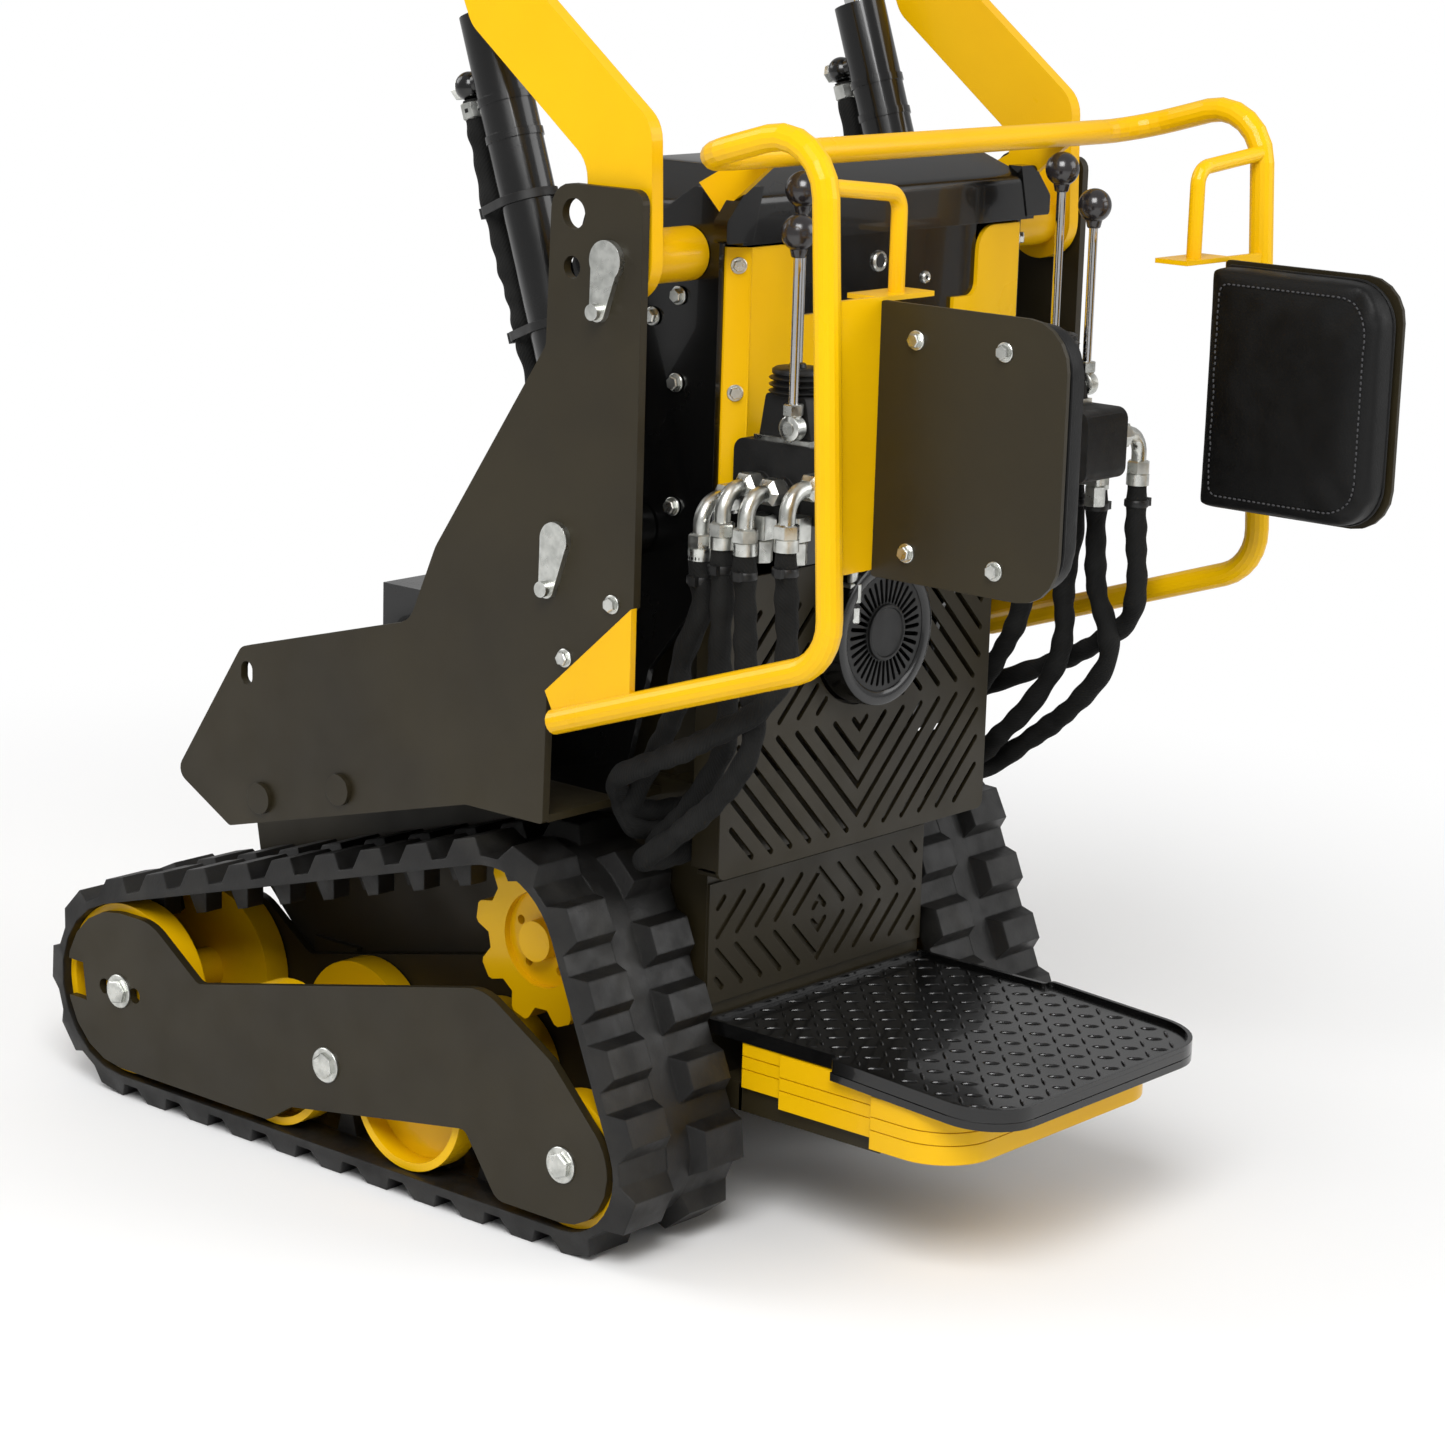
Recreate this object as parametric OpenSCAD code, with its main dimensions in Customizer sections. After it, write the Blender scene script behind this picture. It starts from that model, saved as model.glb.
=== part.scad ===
// Mini skid steer loader on rubber tracks, with a raised boom and bucket.
// X is across the machine, +Y is forward and +Z is up. The origin is on the ground,
// in the middle of the machine's length and width. Lengths are in millimetres.

/* [Tracks] */
// Width of each rubber track
track_w = 180; // [140:5:230]
// Overall width over both tracks
track_over = 740; // [720:5:860]
// Thickness of the belt without its lugs
belt_t = 10; // [8:1:14]
// Height of the ground lugs
lug_h = 18; // [12:1:24]
// Number of lugs around one track
lug_count = 29; // [24:1:34]
// Height of the guide teeth on the belt's inner side
guide_h = 26; // [18:1:32]
// Radius of the front idler
front_idler_r = 100; // [90:1:105]
// Radius of the rear idler
rear_idler_r = 71; // [64:1:76]
// Radius of the two road rollers
roller_r = 80; // [70:1:80]
// Radius of the sprocket over its teeth
sprocket_r = 94; // [86:1:98]
// Teeth on the sprocket
sprocket_teeth = 9; // [8:1:11]

/* [Tower] */
// Height of the boom pivot above the ground
pivot_z = 1028; // [1000:1:1060]
// Thickness of the outer tower plates
outer_plate_t = 10; // [8:1:12]
// Clear gap between the outer and inner tower plates
tower_gap = 107; // [104:1:112]
// Thickness of the inner tower plates
inner_plate_t = 8; // [6:1:10]
// Reach of the nose ahead of the boom pivot
nose_reach = 632; // [610:1:650]
// Diameter of the boom pivot pins
pivot_pin_d = 40; // [36:1:42]

/* [Boom] */
// Width of the boom arm plates
arm_w = 84; // [78:1:90]
// Thickness of the boom arm plates
arm_t = 16; // [12:1:18]
// Diameter of the cross tube between the arms
cross_d = 70; // [60:1:76]

/* [Cylinders] */
// Diameter of the lift cylinder barrels
lift_barrel_d = 57; // [52:1:58]
// Diameter of the lift cylinder rods
lift_rod_d = 32; // [28:1:36]
// Length of the lift barrels from their base pin
lift_barrel_len = 533; // [520:1:540]
// Diameter of the tilt cylinder barrel
tilt_barrel_d = 50; // [46:1:54]
// Diameter of the tilt cylinder rod
tilt_rod_d = 26; // [22:1:28]
// Length of the tilt barrel from its base pin
tilt_barrel_len = 412; // [400:1:418]

/* [Bucket] */
// Width of the bucket
bucket_w = 760; // [700:5:800]
// Depth of the bucket from its back to its lip
bucket_depth = 330; // [300:5:340]
// Height of the bucket's back
bucket_h = 300; // [280:5:330]
// Thickness of the bucket's sheet
bucket_t = 8; // [6:1:10]

/* [Body] */
// Height of the hood's flat top
hood_top = 1112; // [1090:1:1125]
// Height of the platform's tread plate
tread_z = 214; // [206:1:222]

/* [Guards] */
// Diameter of the yellow guard tubes
guard_d = 26; // [22:1:30]
// Bend radius of the guard tubes
guard_bend = 55; // [45:1:60]
// Height of the knee pads
pad_h = 262; // [240:1:280]
// Length of the knee pads, front to rear
pad_len = 216; // [190:1:230]
// Thickness of the pads' cushions
cushion_t = 45; // [35:1:50]

/* [Hidden] */
$fn = 48;

// Colours
yellow = "#f0be0a";
satin_black = "#3e382e";
gloss_black = "#1c1c1c";
rubber = "#303034";
zinc = "#c9ccc8";
steel = "#9a9c9c";

// Clearances
run_gap = 0.05;
seat_gap = 0.3;
swing_gap = 5;
frame_gap = 8;
plate_step = 5;
lobe_gap = 8;

// Places along the machine are measured from the boom pivot, then moved by pivot_y
tool_reach = 1034;
tool_rise = 877;
plate_ahead = 111;
rear_end = -494;
tool_plate_t = 12;
bucket_back = tool_reach + plate_ahead + tool_plate_t + seat_gap;
front_end = bucket_back + bucket_depth;
pivot_y = -(front_end + rear_end) / 2;

// Widths that follow from the tracks: tower plates, hull between the tracks and platform
tower_x = track_over / 2 - plate_step;
frame_inner_x = track_over / 2 - track_w;
hull_half = frame_inner_x - frame_gap;
platform_half = frame_inner_x - 2;

// Plane of the track and of its wheels
track_x = (track_over - track_w) / 2;
lug_gap = belt_t + lug_h;
front_idler = [726, front_idler_r + lug_gap];
rear_idler = [34, rear_idler_r + lug_gap];
sprocket = [142, 300];
road_rollers = [480, 272];
road_roller_z = roller_r + lug_gap;

// Outline helpers: each corner is [y, z, radius], turned to an arc of short lines
arc_steps = 5;
function unit(v) = v / norm(v);
function flat(p) = [p[0], p[1]];
function corner(a, b, c, r) =
    r <= 0 ? [b] :
    let (
        u = unit(a - b),
        v = unit(c - b),
        half = acos(u * v) / 2,
        d = r / tan(half),
        centre = b + unit(u + v) * r / sin(half),
        s = b + u * d - centre,
        e = b + v * d - centre,
        turn = atan2(s[0] * e[1] - s[1] * e[0], s * e)
    )
    [for (i = [0:arc_steps])
        let (t = turn * i / arc_steps)
        centre + [s[0] * cos(t) - s[1] * sin(t), s[0] * sin(t) + s[1] * cos(t)]];
function rounded(p) = let (n = len(p))
    [for (i = [0:n - 1])
        each corner(flat(p[(i + n - 1) % n]), flat(p[i]), flat(p[(i + 1) % n]), p[i][2])];

// Stroke of a given half width along a polyline, with its corners rounded
function side_point(path, i, w) =
    let (
        n = len(path),
        u = unit(path[min(i + 1, n - 1)] - path[min(i, n - 2)]),
        p = unit(path[max(i, 1)] - path[max(i - 1, 0)]),
        m = unit([-u[1] - p[1], u[0] + p[0]])
    )
    path[i] + m * w / (m * [-u[1], u[0]]);
function stroke(path, w, r) = let (n = len(path)) concat(
    [for (i = [0:n - 1]) let (s = side_point(path, i, -w)) [s[0], s[1], i == 0 || i == n - 1 ? 0 : r]],
    [for (i = [n - 1:-1:0]) let (s = side_point(path, i, w)) [s[0], s[1], i == 0 || i == n - 1 ? 0 : r]]);

// Solids: a sheet standing in the YZ plane, a round bar along X, and a mirrored pair
module sheet(x, t) {
    translate([x, 0, 0]) rotate([90, 0, 90]) linear_extrude(t) children();
}
module bar(x0, x1, r, y, z) {
    translate([x0, y, z]) rotate([0, 90, 0]) cylinder(h = x1 - x0, r = r);
}
module pair() {
    children();
    mirror([1, 0, 0]) children();
}
module side(s) {
    if (s < 0) mirror([1, 0, 0]) children();
    else children();
}
module on_pivot() {
    translate([0, pivot_y, 0]) children();
}
module at_pivot() {
    translate([0, pivot_y, pivot_z]) children();
}

// Round tube or cord: rings of points carried without twist along [point, heading] pairs
function carry(path, i, a) =
    i >= len(path) ? [] :
    let (n = unit(a - path[i][1] * (a * path[i][1])))
    concat([n], carry(path, i + 1, n));
module swept(path, d, sides) {
    n = len(path);
    first = abs(path[0][1][0]) < 0.9 ? [1, 0, 0] : [0, 1, 0];
    normals = carry(path, 0, first);
    rings = [for (i = [0:n - 1]) each
        [for (k = [0:sides - 1]) path[i][0] + (normals[i] * cos(k * 360 / sides)
            + cross(path[i][1], normals[i]) * sin(k * 360 / sides)) * d / 2]];
    polyhedron(rings, concat(
        [[for (k = [0:sides - 1]) k]],
        [for (i = [0:n - 2]) each [for (k = [0:sides - 1])
            let (m = (k + 1) % sides)
            [i * sides + k, (i + 1) * sides + k, (i + 1) * sides + m, i * sides + m]]],
        [[for (k = [sides - 1:-1:0]) (n - 1) * sides + k]]));
}
bend_steps = 6;
function bend_pairs(a, b, c, r) =
    let (
        u = unit(b - a),
        v = unit(c - b),
        turn = acos(u * v),
        q = unit(v - u * (u * v)),
        o = b - u * r * tan(turn / 2) + q * r
    )
    [for (k = [0:bend_steps])
        let (w = turn * k / bend_steps)
        [o - q * r * cos(w) + u * r * sin(w), u * cos(w) + q * sin(w)]];
module tube(route, r, d) {
    n = len(route);
    swept(concat(
        [[route[0], unit(route[1] - route[0])]],
        [for (i = [1:1:n - 2]) each bend_pairs(route[i - 1], route[i], route[i + 1], r)],
        [[route[n - 1], unit(route[n - 1] - route[n - 2])]]), d, 16);
}
module cord(p, d) {
    n = len(p);
    swept([for (i = [0:n - 1]) [p[i], unit(p[min(i + 1, n - 1)] - p[max(i - 1, 0)])]], d, 8);
}

// Belt path round three wheels, as [centre, radius], counter-clockwise
wheels = [[front_idler, front_idler_r], [sprocket, sprocket_r], [rear_idler, rear_idler_r]];
function heading(i) =
    let (
        a = wheels[i % 3],
        b = wheels[(i + 1) % 3],
        v = b[0] - a[0]
    )
    atan2(v[1], v[0]) + asin((a[1] - b[1]) / norm(v));
function leave(i) = heading(i) - 90;
function wrap(a) = a < 0 ? a + 360 : a >= 360 ? a - 360 : a;
function sweep(i) = wrap(leave(i) - leave((i + 2) % 3));
function arc_len(i, off) = (wheels[i][1] + off) * sweep(i) * PI / 180;
function line_len(i) =
    let (
        a = wheels[i % 3],
        b = wheels[(i + 1) % 3]
    )
    sqrt(pow(norm(b[0] - a[0]), 2) - pow(a[1] - b[1], 2));
lengths = [for (i = [0:2]) each [arc_len(i, 0), line_len(i)]];
function before(k) = k <= 0 ? 0 : lengths[k - 1] + before(k - 1);
belt_len = before(6);
function polar(a) = [cos(a), sin(a)];
// Point at a distance along the belt's inner face, moved outwards by off
function along(s0, off) =
    let (
        s = s0 < 0 ? s0 + belt_len : s0 >= belt_len ? s0 - belt_len : s0,
        k = [for (j = [0:5]) if (s >= before(j) && s < before(j + 1) + 0.0001) j][0],
        i = floor(k / 2),
        t = s - before(k),
        start = leave((i + 2) % 3)
    )
    k % 2 == 0 ?
        wheels[i][0] + polar(start + t / wheels[i][1] * 180 / PI) * (wheels[i][1] + off) :
        wheels[i][0] + polar(leave(i)) * (wheels[i][1] + off) + polar(heading(i)) * t;
// Smooth loop round the wheels, its chords outside the true arcs
wrap_steps = 10;
function smooth(off) = [for (i = [0:2]) each
    [for (k = [0:wrap_steps])
        let (grown = (wheels[i][1] + off) / cos(sweep(i) / wrap_steps / 2))
        wheels[i][0] + polar(leave((i + 2) % 3) + sweep(i) * k / wrap_steps) * grown]];
// Toothed loop: rows of base length, tip length and height, at a shift along the belt
function toothed(shift, base, tip, off, h) = [for (j = [0:lug_count - 1]) each
    [for (q = [[-base / 2, 0], [-tip / 2, h], [tip / 2, h], [base / 2, 0]])
        along(j * belt_len / lug_count + shift + q[0], off + q[1])]];
lug_base = 50;
lug_tip = 30;
guide_base = 30;
guide_tip = 16;
guide_in = 18;
guide_out = 42;
half_pitch = belt_len / lug_count / 2;
module strip(x0, x1, outer, inner) {
    sheet(x0, x1 - x0) difference() {
        polygon(outer);
        polygon(inner);
    }
}
module track() {
    w = track_w / 2;
    first = toothed(half_pitch / 2, lug_base, lug_tip, belt_t, lug_h);
    second = toothed(half_pitch * 1.5, lug_base, lug_tip, belt_t, lug_h);
    guides = toothed(half_pitch, guide_base, guide_tip, 0, -guide_h);
    translate([track_x, 0, 0]) {
        strip(guide_out, w, first, smooth(0));
        strip(guide_in, guide_out, first, guides);
        strip(-guide_in, guide_in, smooth(belt_t), smooth(0));
        strip(-guide_out, -guide_in, second, guides);
        strip(-w, -guide_out, second, smooth(0));
    }
}
module track_left() {
    color(rubber) on_pivot() side(-1) track();
}
module track_right() {
    color(rubber) on_pivot() track();
}

// Track frames: an outer and an inner plate joined by the wheel shafts
frame_t = 10;
frame_x = track_over / 2;
shaft_r = 12;
frame_bolt_r = 17;
frame_bolt_t = 10;
frame_bar = [380, 124];
front_lobe = front_idler_r - lobe_gap;
rear_lobe = rear_idler_r - lobe_gap;
lobe_low = lug_gap + lobe_gap;
rear_rise = rear_lobe * tan(22.5);
rear_slope = 62.5;
function lobe_corner(c, r, y, z) = [c[0] + y, c[1] + z, r];
frame_outline = [
    lobe_corner(front_idler, front_lobe, front_lobe, front_lobe),
    lobe_corner(front_idler, 60, -54, front_lobe),
    [592, 166, 15], [150, 262, 60],
    lobe_corner(rear_idler, 30, rear_slope - rear_lobe * cos(45), rear_slope + rear_lobe * sin(45)),
    lobe_corner(rear_idler, rear_lobe, -rear_lobe, rear_rise),
    lobe_corner(rear_idler, rear_lobe, -rear_lobe, -rear_lobe),
    [126, lobe_low, 20], [174, 102, 12], [440, 60, 12], [478, lobe_low, 12],
    lobe_corner(front_idler, front_lobe, front_lobe, -front_lobe)
];
notch = [[790, 148], [830, 148], [830, 104], [784, 104]];
module frame_sheet(x) {
    sheet(x, frame_t) difference() {
        polygon(rounded(frame_outline));
        polygon(notch);
        for (y = [front_idler[0] - 26, front_idler[0] + 26])
            translate([y, front_idler[1]]) circle(r = 9);
    }
}
module track_frame() {
    frame_sheet(frame_x - frame_t);
    frame_sheet(frame_inner_x);
    shafts = [front_idler, rear_idler, frame_bar, [road_rollers[0], road_roller_z],
        [road_rollers[1], road_roller_z]];
    for (p = shafts) bar(frame_inner_x + frame_t, frame_x - frame_t, shaft_r, p[0], p[1]);
    for (p = [front_idler, frame_bar, rear_idler])
        bar(frame_x, frame_x + frame_bolt_t, frame_bolt_r, p[0], p[1]);
}
module track_frames() {
    color(satin_black) on_pivot() pair() track_frame();
}

// Wheels: two flanged discs on a hub, running on a shaft
disc_in = 46;
disc_out = 78;
rim_t = 9;
web_t = 8;
hub_r = 24;
module wheel(y, z, r) {
    run_r = r - seat_gap;
    translate([track_x, y, z]) rotate([0, 90, 0]) difference() {
        union() {
            translate([0, 0, -disc_out]) cylinder(h = 2 * disc_out, r = hub_r);
            for (m = [0, 1]) mirror([0, 0, m]) difference() {
                translate([0, 0, disc_in]) cylinder(h = disc_out - disc_in, r = run_r);
                translate([0, 0, disc_in + web_t])
                    cylinder(h = disc_out - disc_in, r = run_r - rim_t);
            }
        }
        cylinder(h = 3 * disc_out, r = shaft_r + run_gap, center = true);
    }
}
module rollers() {
    color(yellow) on_pivot() pair() {
        wheel(front_idler[0], front_idler[1], front_idler_r);
        wheel(rear_idler[0], rear_idler[1], rear_idler_r);
        for (y = road_rollers) wheel(y, road_roller_z, roller_r);
    }
}

// Sprockets: a toothed plate with a recessed centre on the drive motor
sprocket_t = 26;
sprocket_root = sprocket_r - 18;
sprocket_recess_r = 52;
sprocket_recess = 8;
motor_r = 36;
function sprocket_points() =
    let (step = 360 / sprocket_teeth, tip_r = sprocket_r - seat_gap)
    [for (j = [0:sprocket_teeth - 1]) each
        [for (q = [[-0.34, sprocket_root], [-0.2, tip_r - 3], [-0.13, tip_r],
                [0.13, tip_r], [0.2, tip_r - 3], [0.34, sprocket_root]])
            sprocket + polar((j + 0.2 + q[0]) * step) * q[1]]];
module sprocket_one() {
    x0 = track_x - sprocket_t / 2;
    difference() {
        union() {
            sheet(x0, sprocket_t) polygon(sprocket_points());
            bar(x0 + sprocket_t - sprocket_recess, x0 + sprocket_t + 10, 22, sprocket[0], sprocket[1]);
        }
        difference() {
            bar(x0 + sprocket_t - sprocket_recess, x0 + sprocket_t + 20, sprocket_recess_r,
                sprocket[0], sprocket[1]);
            bar(x0, x0 + sprocket_t + 20, 22, sprocket[0], sprocket[1]);
        }
        for (a = [0:72:359])
            let (q = sprocket + polar(a + 20) * 38)
            bar(x0 - 1, x0 + sprocket_t + 1, 5, q[0], q[1]);
    }
}
module sprockets() {
    color(yellow) on_pivot() pair() sprocket_one();
}

// Chassis: hull between the tracks, deck under the tower plates, cross shafts and motors
deck_t = 8;
deck_line = [[76, 451], [184, 451], [545, 358]];
deck_half = tower_x - outer_plate_t;
grille_back = 6;
grille_t = 3;
hull_back = grille_back + grille_t + seat_gap;
hull_low = 150;
hull_top = 470;
hull_outline = [
    [hull_back, hull_low, 0], [600, hull_low, 40], [690, 236, 40], [702, 300, 10], [640, 372, 20],
    [545, 430, 30], [300, hull_top, 10], [hull_back, hull_top, 0]
];
cross_shafts = [[493, 399], [370, 432]];
cross_shaft_r = 17;
cross_shaft_cap = 6;
module deck() {
    n = len(deck_line);
    polygon(concat(deck_line, [for (i = [n - 1:-1:0]) deck_line[i] + [0, deck_t]]));
}
function deck_top(y) = deck_line[1][1] + deck_t
    + (y - deck_line[1][0]) * (deck_line[2][1] - deck_line[1][1]) / (deck_line[2][0] - deck_line[1][0]);
module chassis() {
    color(satin_black) on_pivot() {
        sheet(-hull_half, 2 * hull_half) polygon(rounded(hull_outline));
        sheet(-deck_half, 2 * deck_half) deck();
        for (p = cross_shafts)
            bar(-tower_x - cross_shaft_cap, tower_x + cross_shaft_cap, cross_shaft_r, p[0], p[1]);
        pair() {
            bar(hull_half, track_x - sprocket_t / 2, motor_r, sprocket[0], sprocket[1]);
            for (y = [180, 560]) sheet(hull_half, frame_inner_x - hull_half)
                translate([y, 160]) square([70, 50], center = true);
        }
    }
}

// Tower plates, with their lift holes, pins, gusset bolts and nose holes
tower_back = -42;
tower_front = 80;
tower_top = 70;
base_pin = [61, -282];
base_pin_r = 16;
lift_hole = [48, 41];
lift_hole_r = 15;
lock_hole = [49, -11];
lock_hole_r = 11;
plate_top = pivot_z + tower_top;
outer_outline = [
    [tower_front - 3, plate_top, 26], [tower_back, plate_top, 14], [tower_back, 692, 0],
    [72, 591, 0], [75, 451, 4], [184, 451, 0], [545, 358, 8], [nose_reach, 404, 14],
    [526, 562, 18], [268, 631, 30], [232, 714, 60], [tower_front + 2, 937, 14]
];
module bores(points, r) {
    for (p = points) bar(0, tower_x + 1, r, p[0], p[1]);
}
module outer_plate() {
    difference() {
        sheet(tower_x - outer_plate_t, outer_plate_t) polygon(rounded(outer_outline));
        bores([[0, pivot_z]], pivot_pin_d / 2 + run_gap);
        bores([base_pin + [0, pivot_z]], base_pin_r + run_gap);
        bores([lift_hole + [0, pivot_z]], lift_hole_r);
        bores([lock_hole + [0, pivot_z]], lock_hole_r);
        bores(cross_shafts, cross_shaft_r + run_gap);
        sheet(0, tower_x + 1) {
            translate([517, 538]) circle(r = 9);
            translate([517, 530]) circle(r = 9);
            translate([517, 534]) square([18, 8], center = true);
        }
    }
}
module outer_plates() {
    color(satin_black) on_pivot() pair() outer_plate();
}
inner_x = tower_x - outer_plate_t - tower_gap;
inner_outline = [
    [-10, plate_top, 14], [-39, plate_top - 28, 14], [-39, 700, 0], [40, 600, 0],
    [76, deck_top(184), 0], [184, deck_top(184), 0], [420, deck_top(420), 0], [420, 560, 20], [268, 631, 30], [225, 714, 60],
    [110, 900, 20], [110, 1020, 20]
];
module inner_plate() {
    difference() {
        sheet(inner_x - inner_plate_t, inner_plate_t) polygon(rounded(inner_outline));
        bores([[0, pivot_z]], pivot_pin_d / 2 + run_gap);
        bores([base_pin + [0, pivot_z]], base_pin_r + run_gap);
        bores([cross_shafts[1]], cross_shaft_r + run_gap);
    }
}
module inner_plates() {
    color(gloss_black) on_pivot() pair() inner_plate();
}

// Pins and their teardrop keepers, seated on the outer plates
keeper_t = 7;
keeper_r = 18;
keeper_tip_r = 10;
keeper_drop = [9, -50];
module keeper(p, pin_r) {
    bar(inner_x - inner_plate_t, tower_x + keeper_t, pin_r, p[0], p[1]);
    q = p + keeper_drop;
    u = unit(keeper_drop);
    side_v = [-u[1], u[0]];
    sheet(tower_x, keeper_t) polygon([p + side_v * keeper_r, q + side_v * keeper_tip_r,
        q - side_v * keeper_tip_r, p - side_v * keeper_r]);
    bar(tower_x, tower_x + keeper_t, keeper_r, p[0], p[1]);
    bar(tower_x, tower_x + keeper_t, keeper_tip_r, q[0], q[1]);
    bar(tower_x + keeper_t, tower_x + keeper_t + 8, 8, q[0], q[1]);
}
module pin_keepers() {
    color(zinc) on_pivot() pair() {
        keeper([0, pivot_z], pivot_pin_d / 2);
        keeper(base_pin + [0, pivot_z], base_pin_r);
    }
}

// Boom arms: a bent plate, a boss tube at the pivot and bosses for the rod and tool pins
knee = [424.6, 783.8];
elbow_point = [171, 240];
neck_point = [4, 112];
tool_pin = [tool_reach, tool_rise];
tool_pin_r = 16;
arm_x = tower_x - outer_plate_t - swing_gap;
arm_path = [[0, 0], neck_point, elbow_point, knee, tool_pin];
arm_end_r = 38;
rod_pin = [373.6, 625.7];
boss_r = 27;
lift_x = 298;
eye_half = 18;
module arm() {
    difference() {
        union() {
            sheet(arm_x - arm_t, arm_t) polygon(rounded(stroke(arm_path, arm_w / 2, 36)));
            bar(arm_x - arm_t, arm_x, arm_w / 2, 0, 0);
            bar(arm_x - arm_t, arm_x, arm_w / 2, tool_pin[0], tool_pin[1]);
            bar(inner_x + 1, arm_x - arm_t, boss_r, 0, 0);
            bar(lift_x + eye_half + 2, arm_x - arm_t, 24, rod_pin[0], rod_pin[1]);
            bar(tool_ear_x + tool_ear_t + 1, arm_x - arm_t, 26, tool_pin[0], tool_pin[1]);
            bar(tool_ear_x - 6, arm_x - arm_t, tool_pin_r, tool_pin[0], tool_pin[1]);
        }
        bar(0, tower_x, pivot_pin_d / 2 + run_gap, 0, 0);
    }
}
module arm_left() {
    color(yellow) at_pivot() side(-1) arm();
}
module arm_right() {
    color(yellow) at_pivot() arm();
}

// Cross tube between the arms, with the ears for the tilt cylinder
cross_at = [418, 776];
tilt_pin = [495.7, 722.6];
tilt_pin_r = 12;
tilt_eye_half = 17;
ear_t = 12;
module ear_plate(a, ra, b, rb) {
    u = unit(b - a);
    v = [-u[1], u[0]];
    polygon([a + v * ra, b + v * rb, b - v * rb, a - v * ra]);
}
module boom_cross() {
    color(yellow) at_pivot() {
        half = arm_x - arm_t;
        bar(-half, half, cross_d / 2, cross_at[0], cross_at[1]);
        pair() {
            sheet(tilt_eye_half + 1, ear_t) ear_plate(cross_at, 34, tilt_pin, 24);
            bar(tilt_eye_half + 1, tilt_eye_half + 1 + ear_t, 24, tilt_pin[0], tilt_pin[1]);
        }
        bar(-tilt_eye_half - ear_t - 6, tilt_eye_half + ear_t + 6, tilt_pin_r, tilt_pin[0], tilt_pin[1]);
    }
}

// Hydraulic cylinders, drawn along their axis from the base pin
lift_vec = rod_pin - base_pin;
lift_len = norm(lift_vec);
lift_lean = atan2(lift_vec[1], lift_vec[0]);
module along_axis(p, a) {
    translate([0, p[0], p[1]]) rotate([a, 0, 0]) children();
}
module rod_bar(x, y0, y1, r) {
    translate([x, y0, 0]) rotate([-90, 0, 0]) cylinder(h = y1 - y0, r = r);
}
lift_tail = 100;
bore_gap = 0.06;
lift_base_half = 48;
lift_fitting = lift_barrel_len - 63;
weld_rings = [lift_barrel_len - 93, lift_barrel_len - 131];
weld_ring_w = 8;
lift_port = 108;
hose_off = 46;
module hose_end(x, y, r) {
    translate([x, y, -hose_off]) cylinder(h = hose_off - r + 4, r = 10);
    translate([x, y, -hose_off]) sphere(r = 15);
}
module lift_barrel(x) {
    r = lift_barrel_d / 2;
    difference() {
        union() {
            bar(x - lift_base_half, x + lift_base_half, 28, 0, 0);
            rod_bar(x, 0, lift_barrel_len, r);
            for (y = weld_rings) rod_bar(x, y, y + weld_ring_w, r + 1.5);
            hose_end(x, lift_fitting, r);
            hose_end(x, lift_port, r);
        }
        bar(x - lift_base_half - 1, x + lift_base_half + 1, base_pin_r + run_gap, 0, 0);
        rod_bar(x, 50, lift_barrel_len + 1, lift_rod_d / 2 + bore_gap);
    }
}
module lift_barrel_left() {
    color(gloss_black) at_pivot() along_axis(base_pin, lift_lean) lift_barrel(-lift_x);
}
module lift_barrel_right() {
    color(gloss_black) at_pivot() along_axis(base_pin, lift_lean) lift_barrel(lift_x);
}
module lift_rod(x) {
    rod_bar(x, lift_barrel_len - lift_tail, lift_len - 20, lift_rod_d / 2);
    bar(x - eye_half, x + eye_half, 28, lift_len, 0);
}
module lift_rod_left() {
    color(steel) at_pivot() along_axis(base_pin, lift_lean) lift_rod(-lift_x);
}
module lift_rod_right() {
    color(steel) at_pivot() along_axis(base_pin, lift_lean) lift_rod(lift_x);
}

// Hose down the front of each lift barrel, from its top fitting, in the barrel's own axes
lift_hose_d = 24;
function lift_hose_route(x) = [
    [x, 454.5, -46], [x, 420, -46], [x, 370, -49], [x, 320, -50],
    [x, 270, -47], [x, 210, -46], [x, 160, -46], [x, 123.5, -46]
];
module lift_hose_left() {
    color(rubber) at_pivot() along_axis(base_pin, lift_lean) cord(lift_hose_route(-lift_x), lift_hose_d);
}
module lift_hose_right() {
    color(rubber) at_pivot() along_axis(base_pin, lift_lean) cord(lift_hose_route(lift_x), lift_hose_d);
}

// Tilt cylinder from the cross tube to the tool plate
tool_lever = 105;
lever_angle = 70;
lever_pin = tool_pin + tool_lever * polar(lever_angle);
tilt_vec = lever_pin - tilt_pin;
tilt_len = norm(tilt_vec);
tilt_lean = atan2(tilt_vec[1], tilt_vec[0]);
tilt_tail = 80;
tilt_neck = 32;
module tilt_barrel() {
    color(gloss_black) at_pivot() along_axis(tilt_pin, tilt_lean) difference() {
        union() {
            bar(-tilt_eye_half, tilt_eye_half, 24, 0, 0);
            rod_bar(0, 10, tilt_neck + 4, 15);
            rod_bar(0, tilt_neck, tilt_barrel_len, tilt_barrel_d / 2);
        }
        bar(-50, 50, tilt_pin_r + run_gap, 0, 0);
        rod_bar(0, 60, tilt_barrel_len + 1, tilt_rod_d / 2 + bore_gap);
    }
}
module tilt_rod() {
    color(steel) at_pivot() along_axis(tilt_pin, tilt_lean) {
        rod_bar(0, tilt_barrel_len - tilt_tail, tilt_len - 16, tilt_rod_d / 2);
        bar(-tilt_eye_half, tilt_eye_half, 22, tilt_len, 0);
    }
}

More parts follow.
